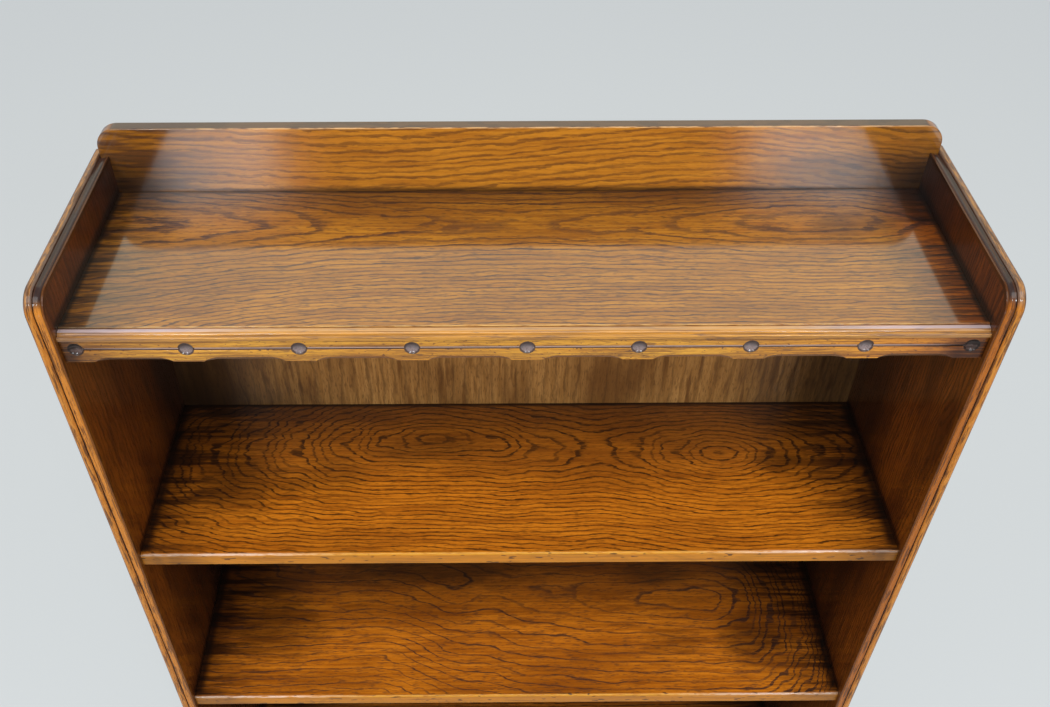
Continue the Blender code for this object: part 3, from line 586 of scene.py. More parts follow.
def makeShelf(name, node, own):
    level, arris, foot = own["level"], shelf["arris"], shelf["foot"]
    front = frontFace + shelf["setback"]
    section = boardRear(level, shelf["rear"])
    section += arc((front + arris, level - arris), arris, 90, 90, shelf["arrisSteps"])
    section += arc((front + foot, level - carcase["boardThickness"] + foot), foot, 180, 90, shelf["footSteps"])
    board = layBoard(name, section, boardEnd, own, oakMaterial(name + "Oak", own["look"], shelfShade, own))
    notchEnds(board, level, front, front + shelf["tongueStop"])
    finishPiece(board, [node])


makeShelf("upperShelf", "upper_shelf", upperShelf)
makeShelf("lowerShelf", "lower_shelf", lowerShelf)
makeShelf("bottomBoard", "bottom_board", bottomBoard)
print("shelves made")


# Sides

side = dict(
    cornerRadius=0.024, cornerSteps=28, beadWidth=0.0084, beadHeight=0.0034, beadSteps=20,
    quirkWidth=0.0007, quirkRise=0.0012, hollowWidth=0.0083, hollowDepth=0.0016, hollowSteps=12,
    filletSink=0.001, innerArris=0.0006, planing=0.0005, station=0.03, galleryFoot=1.143, galleryFront=0.113,
    panelFace=0.122,
    look=dict(
        plainOak, order="ZYX", mirrored=True, seed=9.2, face=0.457, ring=0.0095, lineWidth=0.32, lineShare=0.42,
        fray=0.011, waveAmount=0.014, driftAmount=0.03, patchShare=0.95, streakShare=0.8,
        heartAcross=[(0.0, -0.2), (1.22, -0.18)], heartDepth=[(0.0, 0.05), (1.22, 0.07)],
        light=(0.24, 0.063, 0.006), mid=(0.145, 0.035, 0.004), deep=(0.065, 0.015, 0.003),
        dark=(0.03, 0.009, 0.003), pore=(0.02, 0.007, 0.003)),
    rightLook=dict(seed=15.8, ring=0.005, fray=0.005, waveAmount=0.006, lineShare=0.75),
    tints=dict(bead=(0.46, 0.152, 0.01), topBead=(0.135, 0.085, 0.062), crestWearAndHighlight=(0.58, 0.245, 0.04),
               rightHollow=(0.36, 0.105, 0.008), leftHollow=(0.52, 0.185, 0.02), topHollow=(0.02, 0.01, 0.009),
               arris=(0.095, 0.027, 0.004), topArris=(0.12, 0.04, 0.007), streak=(0.066, 0.021, 0.005),
               quirk=(0.035, 0.013, 0.007), outerArris=(0.05, 0.027, 0.02), aboveTop=(0.68, 0.54, 0.36)))


def sideEdge():  # (distance from the outer face, depth below the edge)
    width, height, arris = side["beadWidth"], side["beadHeight"], side["innerArris"]
    points = [(width / 2 * (1 - math.cos(angle)), height * (1 - math.sin(angle)))
              for angle in spaced(0, math.pi, side["beadSteps"])]
    quirkEnd, hollowStart = width + side["quirkWidth"], height - side["quirkRise"]
    for share in spaced(0, 1, side["hollowSteps"]):
        line = hollowStart * (1 - share) + side["filletSink"] * share
        sag = side["hollowDepth"] * math.sin(math.pi * share)
        points.append((quirkEnd + side["hollowWidth"] * share, line + sag))
    return points + arc((carcase["sideThickness"] - arris, side["filletSink"] + arris), arris, -90, 90, 4)


def sideMoulding():  # what comes off a side's front and top edge
    outer, profile = -carcase["width"] / 2, sideEdge()
    section = [(outer - over, -over), (outer - over, profile[0][1])]
    section += [(outer + across, depth) for across, depth in profile]
    section += [(-innerFace + over, profile[-1][1]), (-innerFace + over, -over)]
    height, radius = carcase["sideHeight"], side["cornerRadius"]
    centreY, centreZ = frontFace + radius, height - radius
    count = math.ceil((centreZ + over) / side["station"])
    rings = [[(x, frontFace + depth, z) for x, depth in section] for z in spaced(-over, centreZ, count)]
    for angle in spaced(0, math.pi / 2, side["cornerSteps"])[1:]:
        cos, sin = math.cos(angle), math.sin(angle)
        rings.append([(x, centreY - (radius - depth) * cos, centreZ + (radius - depth) * sin)
                      for x, depth in section])
    rings.append([(x, backFace + over, height - depth) for x, depth in section])
    return loft("sideMoulding", rings)


def sideShade(x, y, z, colour):
    tints, radius = side["tints"], side["cornerRadius"]
    acrossY = maths("MINIMUM", y - (frontFace + radius), 0.0)
    acrossZ = highest(z - (carcase["sideHeight"] - radius), 0.0)
    depth = radius - distance(acrossY, acrossZ)  # below the moulded edge
    isTop = ramp(acrossZ, radius * 0.2, radius * 0.7)
    edge = ramp(depth, 0.0058, 0.0046)
    spots = cloud(x * 700, y * 90, z * 90, 2.0, 0.6)
    streaks = cloud(x * 520, y * 30, z * 30, 4.0, 0.65)
    fromOuter = carcase["width"] / 2 - abs(x)
    quirk = side["beadWidth"] + side["quirkWidth"] / 2
    fillet = quirk + side["hollowWidth"] / 2 + 0.004
    bead = edge * ramp(fromOuter, quirk, quirk - 0.0008)
    hollow = edge * ramp(fromOuter, quirk, quirk + 0.0004)
    # Along the top edge the moulding is painted darker and greyer than down the front, standing in for how the
    # top edge reflects and is lit, with dark patina in its hollow
    colour = blend(bead * 0.88, colour, blend(isTop, tints["bead"], tints["topBead"]))
    # Wear and a painted highlight along the bead's crest
    crestWearAndHighlight = bead * ramp(depth, 0.001, 0.0002) * ramp(spots, 0.35, 0.6)
    colour = blend(crestWearAndHighlight * 0.5, colour, tints["crestWearAndHighlight"])
    golden = blend(ramp(x, 0.1, -0.1), tints["rightHollow"], tints["leftHollow"])
    colour = blend(hollow * 0.95, colour, blend(isTop, golden, tints["topHollow"]))
    arris = edge * within(fromOuter, fillet, 0.03, 0.0008)
    colour = blend(arris * 0.85, colour, blend(isTop, tints["arris"], tints["topArris"]))
    # Painted shade: the near-black quirk, with dirt in it, and a dark line on the outer arris for its shadow
    groove = edge * within(fromOuter, quirk - 0.0005, quirk + 0.0006, 0.0004)
    colour = painted(colour, tints, streak=edge * ramp(streaks, 0.49, 0.6) * 0.8,
                     quirk=groove * (ramp(spots, 0.35, 0.6) * 0.4 + 0.5),
                     outerArris=edge * ramp(fromOuter, 0.0018, 0.0005) * 0.75)
    # Painted shade with dirt on the inner face: darker towards the back, lower down at the front and into the
    # joints with the boards; painted darker and redder above the top board
    inside = ramp(abs(x), innerFace + 0.002, innerFace)
    seams = 0.0
    for level in (top["level"], *shelfLevels):
        seams = within(z, level - 0.001, level + 0.004, 0.009) + seams
    above = inside * ramp(z, top["level"], top["level"] + 0.006)
    colour = shadeAndGrime(colour, inside * ramp(y, -0.06, 0.11) * 0.78)
    colour = shadeAndGrime(colour, inside * ramp(z, 0.8, 0.56) * ramp(y, -0.11, -0.04) * 0.45)
    colour = blend(above * 0.9, colour, tints["aboveTop"], "MULTIPLY")
    colour = shadeAndGrime(colour, inside * seams * ramp(depth, 0.006, 0.014) * 0.88)
    return colour, highest(arris * 0.8, hollow * 0.6, bead * 0.55, above * 0.6)


def makeSides():
    height, planing = carcase["sideHeight"], side["planing"]
    front, crest, radius = frontFace - planing, height + planing, side["cornerRadius"] + planing
    outline = [(front, 0.0), (backFace, 0.0), (backFace, crest)]
    outline += arc((front + radius, crest - radius), radius, 90, 90, side["cornerSteps"])
    left = prism("leftSide", outline, "X", (-carcase["width"] / 2, -innerFace))
    panelStop, foot = side["panelFace"] - gap, side["galleryFoot"] - gap
    galleryStop = side["galleryFront"] - gap
    rebate = [(backFace + over, -over), (backFace + over, height + over), (galleryStop, height + over),
              (galleryStop, foot), (panelStop, foot), (panelStop, -over)]
    rebateEnds = -innerFace - carcase["rebateWidth"], -innerFace + over
    cutters = [sideMoulding(), prism("sideRebate", rebate, "X", rebateEnds)]
    shelfTongue = frontFace + shelf["setback"] + shelf["tongueStop"]
    tongues = [(top["level"], top["tongueFront"])] + [(level, shelfTongue) for level in shelfLevels]
    for index, (level, tongueFront) in enumerate(tongues):
        low = (-innerFace - carcase["housingDepth"], tongueFront - gap, level - carcase["boardThickness"] - gap)
        high = (-innerFace + over, backFace + over, level - carcase["tongueDrop"] + gap)
        cutters.append(block(f"housing{index}", low, high))
    carve(left, cutters)
    mirrored = left.data.copy()
    mirrored.transform(Matrix.Scale(-1, 4, (1, 0, 0)))
    mirrored.flip_normals()
    right = placeObject("rightSide", mirrored)
    for piece, node, changes in ((left, "left_side", {}), (right, "right_side", side["rightLook"])):
        finishPiece(piece, [node], oakMaterial(node + "Oak", dict(side["look"], **changes), sideShade))


makeSides()
print("sides made")


# Gallery, and the screws that it is bored for

gallery = dict(
    front=0.113, end=0.4477, foot=1.143, top=1.251, cornerRadius=0.023, cornerSteps=18,
    arris=0.0013, arrisSteps=4, bevelAngle=40, panelFace=0.1217, rebateTop=1.1533,
    look=dict(
        plainOak, order="XZY", seed=3.3, face=0.113, ring=0.0074, lineWidth=0.34, fray=0.006, waveAmount=0.008,
        tighter=0.0, lineShare=0.75, poreShare=0.3, streakShare=0.5, strayShare=0.25,
        heartAcross=[(-0.46, 1.08), (-0.18, 1.068), (0.22, 1.098), (0.46, 1.07)], heartDepth=0.05,
        light=(0.53, 0.208, 0.015), mid=(0.385, 0.136, 0.009), deep=(0.25, 0.076, 0.006),
        dark=(0.105, 0.036, 0.009), pore=(0.07, 0.025, 0.007)),
    tints=dict(topEdge=(0.06, 0.034, 0.022), worn=(0.64, 0.36, 0.14), leftStreak=(0.075, 0.03, 0.02)),
    stains=[(0.315, 1.19, 0.11, 0.045, 0.42), (0.43, 1.18, 0.055, 0.045, 0.6), (-0.42, 1.18, 0.05, 0.03, 0.4)])
screws = dict(length=0.034, radius=0.0021, headRadius=0.0042, headDepth=0.0026, crown=0.0003, tip=0.005,
              slotWidth=0.0011, slotDepth=0.0012, sink=0.0003, segments=40, holeSegments=32, size=1.0, seed=4,
              finish="screwSteel", steel=(0.32, 0.29, 0.25), rough=0.38)
screwNodes = ["gallery_screw_top_1", "gallery_screw_top_2", "gallery_screw_top_3", "gallery_screw_left",
              "gallery_screw_right"]


def galleryShade(x, y, z, colour):
    tints, front, crest, arris = gallery["tints"], gallery["front"], gallery["top"], gallery["arris"]
    spots = cloud(x * 70, y * 500, z * 500, 2.0, 0.6)
    upper = ramp(z, crest - arris * 0.6, crest - arris * 0.1)
    # The pale front arris along the top is wear and a painted highlight
    worn = within(y, front + 0.0001, front + arris * 0.8, 0.0002)
    worn = worn * ramp(z, crest - arris * 1.3, crest - arris * 0.9)
    leftStreaks = ramp(x, -0.3, -0.385) * ramp(cloud(x * 9, z * 95, 7.7, 2.0, 0.6), 0.46, 0.56)
    colour = painted(colour, tints, topEdge=upper * 0.9, worn=worn * ramp(spots, 0.3, 0.6) * 0.7,
                     leftStreak=leftStreaks * 0.6)
    # Painted shade with dirt: darker towards the sides below the sides' tops, and along the foot by the top
    # board
    corner = ramp(abs(x), 0.25, 0.44) * (ramp(z, 1.24, 1.195) * 0.52 + 0.36)
    foot = ramp(z, 1.18, 1.1735) * 0.8
    colour = withDarkPatches(colour, x, z, gallery["stains"])
    return shadeAndGrime(colour, highest(corner, foot)), upper * 0.5


def middleOf(node):
    low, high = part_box(node)
    return (low + high) / 2


def makeGallery():
    radius, end, front = gallery["cornerRadius"], gallery["end"], gallery["front"]
    crest, foot = gallery["top"], gallery["foot"]
    outline = [(-end, foot), (end, foot)]
    outline += arc((end - radius, crest - radius), radius, 0, 90, gallery["cornerSteps"])
    outline += arc((radius - end, crest - radius), radius, 90, 90, gallery["cornerSteps"])
    board = prism("galleryBoard", outline, "Y", (front, backFace))
    soften = board.modifiers.new("soften", "BEVEL")
    soften.width = gallery["arris"]
    soften.segments = gallery["arrisSteps"]
    soften.limit_method = "ANGLE"
    soften.angle_limit = math.radians(gallery["bevelAngle"])
    cutters = [block("galleryRebate", (-end - over, gallery["panelFace"], foot - over),
                     (end + over, backFace + over, gallery["rebateTop"]))]
    head, shank = screws["headRadius"] + gap, screws["radius"] + gap
    hole = [(0, backFace + over), (head, backFace + over), (head, backFace - gap),
            (shank, backFace - screws["headDepth"]), (shank, front - over), (0, front - over)]
    for node in screwNodes:
        spot = middleOf(node)
        cutter = turned("hole" + node, hole, screws["holeSegments"])
        cutter.data.transform(Matrix.Translation((spot.x, 0, spot.z)))
        cutters.append(cutter)
    carve(board, cutters)
    finish = oakMaterial("galleryOak", gallery["look"], galleryShade)
    finishPiece(board, ["gallery_board"], finish)


makeGallery()
print("gallery made")


# Frieze rail: one fine grid of points, pushed in where it is carved

frieze = dict(
    end=0.4377, face=-0.1206, rear=-0.1066, top=1.1638, foot=1.1365,
    dishShares=(-0.484, -0.3653, -0.2433, -0.1213, 0.0033, 0.1241, 0.2452, 0.369, 0.484),  # of the inner width
    dishRadius=0.0074, dishDepth=0.0034, dishDrop=0.011, grooveWidth=0.0034, grooveDepth=0.0016,
    chamferHeight=0.006, chamferDepth=0.0038, stopLength=0.012, plainReach=0.015, arris=0.0006, sharpAngle=50,
    toolMarks=0.00012, grooveWander=0.00015, chamferWander=0.05, leastColumn=0.00012, leastRow=0.00009,
    arrisSteps=4, dishSteps=34, runSteps=14, chamferRows=9, dishRows=26, plainRows=30,
    look=dict(
        plainOak, order="XZY", seed=6.6, face=-0.1206, ring=0.009, tighter=0.0, lineShare=0.7,
        heartAcross=1.05, heartDepth=0.09, light=(0.62, 0.3, 0.03), mid=(0.48, 0.205, 0.018),
        deep=(0.34, 0.12, 0.011), dark=(0.16, 0.06, 0.014), pore=(0.1, 0.036, 0.01)),
    tints=dict(streak=(0.165, 0.062, 0.014), rightPart=(0.96, 0.76, 0.6), fleck=(0.09, 0.03, 0.014),
               spill=(0.09, 0.04, 0.02), joint=(0.26, 0.075, 0.01), groove=(0.4, 0.285, 0.25),
               grooveShadow=(0.03, 0.014, 0.01), bowlShadedTop=(0.045, 0.026, 0.022), bowlLitFoot=(0.19, 0.145, 0.145),
               bowlMark=(0.08, 0.06, 0.062), rim=(0.04, 0.018, 0.01), chamfer=(0.21, 0.13, 0.09),
               chamferMark=(0.05, 0.026, 0.016), end=(0.9, 0.62, 0.45)))
dishPlaces = [share * 2 * innerFace for share in frieze["dishShares"]]
dishLevel = frieze["top"] - frieze["dishDrop"]
chamferRuns = [(left + frieze["plainReach"], right - frieze["plainReach"])
               for left, right in zip(dishPlaces, dishPlaces[1:])]


def friezeShade(x, y, z, colour):
    tints, radius, half = frieze["tints"], frieze["dishRadius"], frieze["grooveWidth"] / 2
    crest, foot, slope = frieze["top"], frieze["foot"], frieze["foot"] + frieze["chamferHeight"]
    depth = y - frieze["face"]
    streaks = cloud(x * 9, z * 400, 5.3, 3.0, 0.6)
    colour = blend(ramp(streaks, 0.48, 0.62) * 0.72, colour, tints["streak"])
    colour = blend(ramp(x, 0.18, 0.4), colour, tints["rightPart"], "MULTIPLY")
    flecks = ramp(cloud(x * 190, z * 420, 3.1, 1.0), 0.67, 0.71)
    spills = ramp(cloud(x * 34, z * 150, 8.7, 3.0, 0.7), 0.6, 0.68)
    joint = highest(ramp(z, crest - 0.0012, crest - 0.0004), ramp(z, foot + 0.001, foot + 0.0002) * 0.7)
    colour = painted(colour, tints, fleck=flecks * 0.85, spill=spills * 0.6, joint=joint * 0.75)
    nearest = abs(x - dishPlaces[0])
    for place in dishPlaces[1:]:
        nearest = maths("MINIMUM", nearest, abs(x - place))
    rise = z - dishLevel
    away = distance(nearest, rise)
    dish = ramp(away, radius + 0.0003, radius - 0.0003)
    rim = within(away, radius - 0.0009, radius + 0.0001, 0.0005)
    groove = ramp(abs(rise), half + 0.0002, half - 0.0001) * ramp(depth, 0.0003, 0.001)
    tool = cloud(x * 700, z * 700, 1.9, 2.0, 0.6)
    # Painted reflection: the pale mauve band in the groove is sheen over a dark stain, with a painted shadow
    # below it
    colour = painted(colour, tints, groove=groove * 0.92,
                     grooveShadow=groove * ramp(rise, 0.0009 - half, 0.0003 - half))
    # Painted shade and light in the dish: dark towards the top, lighter towards the foot, with tool marks
    bowl = blend(ramp(rise, 0.0035, -0.004), tints["bowlShadedTop"], tints["bowlLitFoot"])
    bowl = blend(ramp(tool, 0.45, 0.62) * 0.5, bowl, tints["bowlMark"])
    # The chamfer is painted darker and greyer, for painted shade and sheen on it, with tool marks
    chamfer = ramp(z, slope + 0.001, slope) * ramp(depth, 0.0003, 0.0008)
    colour = painted(blend(dish * 0.97, colour, bowl), tints, rim=rim * 0.85, chamfer=chamfer * 0.85,
                     chamferMark=chamfer * ramp(tool, 0.48, 0.6) * 0.5)
    # Painted shade with dirt: darker and browner towards both ends
    ends = highest(ramp(abs(x), 0.405, 0.432), ramp(abs(x), 0.34, 0.46) * 0.75, ramp(x, 0.38, 0.414) * 0.9)
    ends = maths("MINIMUM", ends * (ramp(streaks, 0.35, 0.6) * 0.35 + 0.75), 1.0)
    colour = blend(ends * 0.8, colour, tints["end"], "MULTIPLY")
    return shadeAndGrime(colour, ends * 0.95), highest(ends * 0.7, 0.35)


def easeIn(value, low, high):
    share = min(1.0, max(0.0, (value - low) / (high - low)))
    return share * share * (3 - 2 * share)


def friezeDepth(x, z):  # how far the carving goes in behind the rail's flat face
    ball = (frieze["dishRadius"] ** 2 + frieze["dishDepth"] ** 2) / (2 * frieze["dishDepth"])
    away = math.hypot(x - min(dishPlaces, key=lambda place: abs(x - place)), z - dishLevel)
    dish = groove = chamfer = rounding = 0.0
    if away < frieze["dishRadius"]:
        dish = math.sqrt(ball ** 2 - away ** 2) - (ball - frieze["dishDepth"])
        dish += frieze["toolMarks"] * noise.noise(Vector((x * 900, z * 900, 0)))
    if dishPlaces[0] < x < dishPlaces[-1]:
        wander = frieze["grooveWander"] * noise.noise(Vector((x * 18, 7.3, 0)))
        inside = frieze["grooveWidth"] / 2 - abs(z - dishLevel - wander)
        groove = frieze["grooveDepth"] * easeIn(inside, -0.00015, 0.00045)
    for start, stop in chamferRuns:
        if start < x < stop:
            run = min(x - start, stop - x, frieze["stopLength"]) / frieze["stopLength"]
            reach = math.sqrt(run) * (1 + frieze["chamferWander"] * noise.noise(Vector((x * 30, 2.2, 0))))
            share = (z - frieze["foot"]) / (frieze["chamferHeight"] * reach)
            if share < 1:
                chamfer = frieze["chamferDepth"] * reach * (1 - share)
    edge, soft = min(frieze["top"] - z, z - frieze["foot"], frieze["end"] - abs(x)), frieze["arris"]
    if edge < soft:
        rounding = soft - math.sqrt(max(0.0, soft ** 2 - (soft - edge) ** 2))
    return max(dish, groove, chamfer + rounding * 0.5 if chamfer else rounding)


def thinned(places, least):  # in order, without those that stand too close to the one before
    kept = []
    for place in sorted(places):
        if not kept or place - kept[-1] > least:
            kept.append(place)
    return kept


def friezeColumns():
    end, stopLength, reach = frieze["end"], frieze["stopLength"], frieze["dishRadius"] + 0.0006
    columns = spaced(-end, frieze["arris"] - end, frieze["arrisSteps"])
    columns += spaced(end, end - frieze["arris"], frieze["arrisSteps"])
    for place in dishPlaces:
        shares = spaced(-1, 1, frieze["dishSteps"])
        columns += [place + reach * math.sin(math.pi / 2 * share) for share in shares]
    for start, stop in chamferRuns:
        for share in spaced(0, 1, frieze["runSteps"]):
            columns += [start + stopLength * share ** 2, stop - stopLength * share ** 2]
        columns += spaced(start + stopLength, stop - stopLength, frieze["runSteps"])[1:-1]
    columns = thinned([x for x in columns if abs(x) <= end], frieze["leastColumn"])
    return columns[:-1] + [end]


def friezeRows():
    foot, crest, arris, steps = frieze["foot"], frieze["top"], frieze["arris"], frieze["arrisSteps"]
    radius, half = frieze["dishRadius"], frieze["grooveWidth"] / 2
    rows = spaced(foot, foot + arris, steps) + spaced(crest, crest - arris, steps)
    rows += spaced(foot, foot + frieze["chamferHeight"], frieze["chamferRows"])
    rows += spaced(foot, crest, frieze["plainRows"])
    rows += [dishLevel + radius * math.sin(math.pi / 2 * share) for share in spaced(-1, 1, frieze["dishRows"])]
    for shift in (-0.0006, -0.0004, -0.0002, 0.0, 0.0002, 0.0004):
        rows += [dishLevel - half - shift, dishLevel + half + shift]
    return thinned(rows, frieze["leastRow"])[:-1] + [crest]


def makeFrieze():
    end, rear, foot, crest = frieze["end"], frieze["rear"], frieze["foot"], frieze["top"]
    columns, rows = friezeColumns(), friezeRows()
    points = [(x, frieze["face"] + friezeDepth(x, z), z) for x in columns for z in rows]
    high, corners, faces = len(rows), len(points), []
    last = corners - high
    for start in range(0, last, high):
        for corner in range(start, start + high - 1):
            faces.append((corner, corner + high, corner + high + 1, corner + 1))
    points += [(-end, rear, foot), (end, rear, foot), (end, rear, crest), (-end, rear, crest)]
    faces.append((corners, corners + 3, corners + 2, corners + 1))
    faces.append((corners, corners + 1, *range(last, -1, -high)))
    faces.append((corners + 3, *range(high - 1, corners, high), corners + 2))
    faces.append((corners, *range(high), corners + 3))
    faces.append((corners + 1, corners + 2, *range(corners - 1, last - 1, -1)))
    rail = closedPiece("friezeRail", points, faces)
    finish = oakMaterial("friezeOak", frieze["look"], friezeShade)
    finishPiece(rail, ["frieze_rail"], finish, frieze["sharpAngle"])


makeFrieze()
print("frieze made")


# Plinth

plinth = dict(
    front=-0.109, thickness=0.016, foot=0.002, top=0.1087, arris=0.0008, wave=0.0004, waveSeed=5.2,
    look=dict(plainOak, order="XZY", seed=21.0, face=-0.109, heartAcross=[(-0.44, -0.03), (0.44, -0.02)],
              light=(0.36, 0.11, 0.012), mid=(0.28, 0.08, 0.009)))


def makePlinth():
    front, rear, arris = plinth["front"], plinth["front"] + plinth["thickness"], plinth["arris"]
    section = arc((rear - arris, plinth["foot"] + arris), arris, -90, 90, 3)
    section += [(rear, plinth["top"])]
    section += arc((front + arris, plinth["top"] - arris), arris, 90, 90, 3)
    section += arc((front + arris, plinth["foot"] + arris), arris, 180, 90, 3)
    board = layBoard("plinthBoard", section, innerFace - gap, plinth, oakMaterial("plinthOak", plinth["look"]))
    finishPiece(board, ["plinth_board"])


makePlinth()
print("plinth made")


# Screws and pins

pins = dict(length=0.013, radius=0.0008, headRadius=0.0015, headDepth=0.0008, arris=0.0002, tip=0.0016,
            sink=0.0003, segments=16, size=1.0, seed=9, finish="pinSteel", steel=(0.28, 0.26, 0.24), rough=0.42)
pinNodes = sorted(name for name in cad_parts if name.startswith("back_pin"))


def metalMaterial(name, colour, rough):
    material, bench = newMaterial(name)
    x, y, z = surfacePlace(bench).values()
    tarnish = cloud(x * 900, y * 900, z * 900, 3.0, 0.6)
    shade = blend(ramp(tarnish, 0.45, 0.75), colour, tuple(part * 0.35 for part in colour))
    scratch = cloud(x * 5000, y * 700, z * 700, 1.0)
    values = {"Base Color": shade, "Roughness": rough + tarnish * 0.25, "Metallic": 1.0}
    closeMaterial(0.3, 0.0001, scratch, values)
    return material


def setFasteners(name, nodes, fastener, own):
    spots = [middleOf(node) for node in nodes]
    mesh = bpy.data.meshes.new(name)
    mesh.from_pydata([(spot.x, backFace - own["sink"], spot.z) for spot in spots], [], [])
    group = placeObject(name, mesh)
    runTree(group, fastenerNodes, {"Fastener": fastener, "Size": own["size"], "Seed": own["seed"],
                                   "Finish": metalMaterial(own["finish"], own["steel"], own["rough"])})
    remove(fastener)
    finishPiece(group, nodes, sharpAngle=40)


def makeScrews():
    head, radius, crown, length = screws["headRadius"], screws["radius"], screws["crown"], screws["length"]
    profile = [(0, 0), (head - crown, 0), (head, -crown / 2), (radius, -screws["headDepth"]),
               (radius, screws["tip"] - length), (radius * 0.5, screws["tip"] * 0.45 - length), (0, -length)]
    screw = turned("screw", profile, screws["segments"])
    reach, half = head + over, screws["slotWidth"] / 2
    carve(screw, [block("screwSlot", (-reach, -screws["slotDepth"], -half), (reach, over, half))])
    setFasteners("galleryScrews", screwNodes, screw, screws)


def makePins():
    head, radius, arris, length = pins["headRadius"], pins["radius"], pins["arris"], pins["length"]
    neck = -pins["headDepth"]
    profile = [(0, 0), (head - arris, 0), (head, -arris), (head, arris + neck), (head - arris, neck),
               (radius, neck), (radius, pins["tip"] - length), (0, -length)]
    setFasteners("backPins", pinNodes, turned("pin", profile, pins["segments"]), pins)


makeScrews()
makePins()
print("fasteners made")


# CAD nodes that stay: the thin back and the glue blocks

panelLook = dict(
    plainOak, order="ZXY", seed=4.4, face=0.122, ring=0.016, lineWidth=0.12, lineSoft=0.32, tighter=0.0,
    fray=0.008, waveAmount=0.01, driftAlong=3.0, driftAcross=10.0, driftAmount=0.03, heartAcross=-0.9,
    heartDepth=0.05, light=(0.52, 0.26, 0.076), mid=(0.35, 0.158, 0.038), deep=(0.175, 0.07, 0.016),
    dark=(0.085, 0.033, 0.009), pore=(0.08, 0.031, 0.01), lineShare=0.6, poreShare=0.3, patchShare=0.9,
    streakShare=0.9, coat=0.35, coatRough=0.3)
pineLook = dict(
    plainOak, seed=31.0, ring=0.004, lineShare=0.5, poreShare=0.15, strayShare=0.1, coat=0.0, rough=0.65,
    light=(0.55, 0.36, 0.17), mid=(0.46, 0.28, 0.12), deep=(0.4, 0.23, 0.1), dark=(0.3, 0.15, 0.06),
    pore=(0.3, 0.16, 0.07))


def panelShade(x, y, z, colour):
    # Painted shade with dirt: darker towards both sides, under the top board and at the lower left
    colour = shadeAndGrime(colour, ramp(abs(x), 0.24, 0.42) * 0.84)
    colour = shadeAndGrime(colour, ramp(z, 0.925, 0.965) * 0.22)
    return shadeAndGrime(colour, ramp(z, 0.9, 0.835) * ramp(x, -0.15, -0.36) * 0.55), 0.0


panelFinish = oakMaterial("panelVeneer", panelLook, panelShade)
pineFinish = oakMaterial("blockPine", pineLook)
for name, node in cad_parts.items():
    if name == "back_panel":
        node.material_slots[0].material = panelFinish
    elif "block" in name:
        node.material_slots[0].material = pineFinish
print("back and blocks finished")


# Floor, lights and camera

studio = dict(
    floorReach=9.0, floor=(0.68, 0.7, 0.71), floorSeen=(0.69, 0.73, 0.75), floorSeenShare=0.75,
    worldColour=(0.92, 0.91, 0.88), worldLight=0.2, worldSeen=(0.69, 0.73, 0.75),
    camera=(-0.02838, -0.85378, 1.82368), yaw=0.00415, pitch=0.7466, roll=0.00213, lens=36.027, shiftX=0.0261,
    lamps=dict(  # place, aim, width and height, watts, colour
        wideAbove=((0.0, -1.35, 3.25), (0, 0, 0.9), (4.4, 1.2), 82, (1.0, 0.98, 0.95)),
        windowLeft=((-1.56, -4.0, 3.73), (0, 0, 1.1), (0.66, 0.5), 70, (0.86, 0.94, 1.0)),
        windowRight=((1.77, -4.0, 3.73), (0, 0, 1.1), (0.7, 0.5), 72, (0.86, 0.94, 1.0)),
        softBehind=((0.0, 2.0, 2.6), (0, 0, 1.1), (3.4, 1.6), 20, (1.0, 0.98, 0.7)),
        lowLeft=((-1.15, -2.1, 0.15), (0, 0, 1.1), (0.8, 0.8), 5, (0.94, 0.97, 1.0)),
        lowRight=((1.15, -2.1, 0.15), (0, 0, 1.1), (0.8, 0.8), 5, (0.94, 0.97, 1.0))))


def backgroundRays(bench):  # rays that see the pale background instead of the room's light
    rays = outputsOf(bench.node("ShaderNodeLightPath"))
    return highest(*(rays[f"Is {kind} Ray"] for kind in ("Camera", "Glossy", "Transmission")))


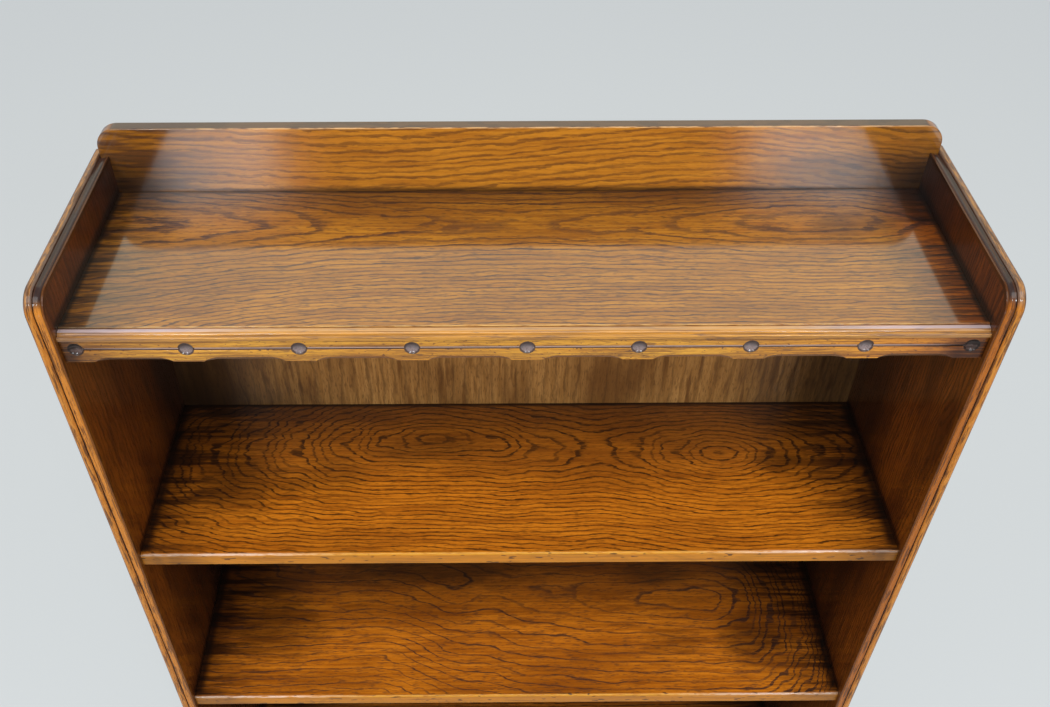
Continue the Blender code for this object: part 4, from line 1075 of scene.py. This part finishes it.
def makeFloor():
    reach = studio["floorReach"]
    corners = [(-reach, -reach, 0), (reach, -reach, 0), (reach, reach, 0), (-reach, reach, 0)]
    mesh = bpy.data.meshes.new("floor")
    mesh.from_pydata(corners, [], [(0, 1, 2, 3)])
    floor = placeObject("floor", mesh)
    material, bench = newMaterial("floorPaint")
    paint = bench.node("ShaderNodeBsdfPrincipled", {
        "Base Color": studio["floor"], "Roughness": 0.9, "Specular IOR Level": 0.2})
    seen = bench.node("ShaderNodeEmission", {"Color": studio["floorSeen"]})
    share = backgroundRays(bench) * studio["floorSeenShare"]
    mixed = wired("ShaderNodeMixShader", {0: share, 1: paint, 2: seen})
    wired("ShaderNodeOutputMaterial", {"Surface": mixed})
    mesh.materials.append(material)


def makeWorld():
    world = bpy.data.worlds.new("studioAir")
    world.use_nodes = True
    bpy.context.scene.world = world
    bench = Bench(world.node_tree)
    light = bench.node("ShaderNodeBackground", {
        "Color": studio["worldColour"], "Strength": studio["worldLight"]})
    seen = bench.node("ShaderNodeBackground", {"Color": studio["worldSeen"], "Strength": 1.0})
    mixed = wired("ShaderNodeMixShader", {0: backgroundRays(bench), 1: light, 2: seen})
    wired("ShaderNodeOutputWorld", {"Surface": mixed})


def makeLights():
    for name, (place, aim, size, power, colour) in studio["lamps"].items():
        data = bpy.data.lights.new(name, "AREA")
        data.shape = "RECTANGLE"
        data.size, data.size_y = size
        data.energy = power
        data.color = colour
        lamp = placeObject(name, data)
        lamp.location = place
        lamp.rotation_euler = (Vector(aim) - Vector(place)).to_track_quat("-Z", "Y").to_euler()
        lamp.visible_camera = False


def makeCamera():
    yaw, pitch, roll = studio["yaw"], studio["pitch"], studio["roll"]
    forward = Vector((math.sin(yaw) * math.cos(pitch), math.cos(yaw) * math.cos(pitch), -math.sin(pitch)))
    level = Vector((math.cos(yaw), -math.sin(yaw), 0))
    down = forward.cross(level)
    right = math.cos(roll) * level + math.sin(roll) * down
    below = math.cos(roll) * down - math.sin(roll) * level
    data = bpy.data.cameras.new("photoCamera")
    data.lens = studio["lens"]
    data.sensor_width = 36
    data.shift_x = studio["shiftX"]
    data.clip_end = 50
    camera = placeObject("photoCamera", data)
    turn = Matrix((right, -below, -forward)).transposed().to_4x4()
    camera.matrix_world = Matrix.Translation(studio["camera"]) @ turn
    bpy.context.scene.camera = camera


makeFloor()
makeWorld()
makeLights()
makeCamera()
bpy.context.scene.view_settings.view_transform = "Standard"
print("studio made")
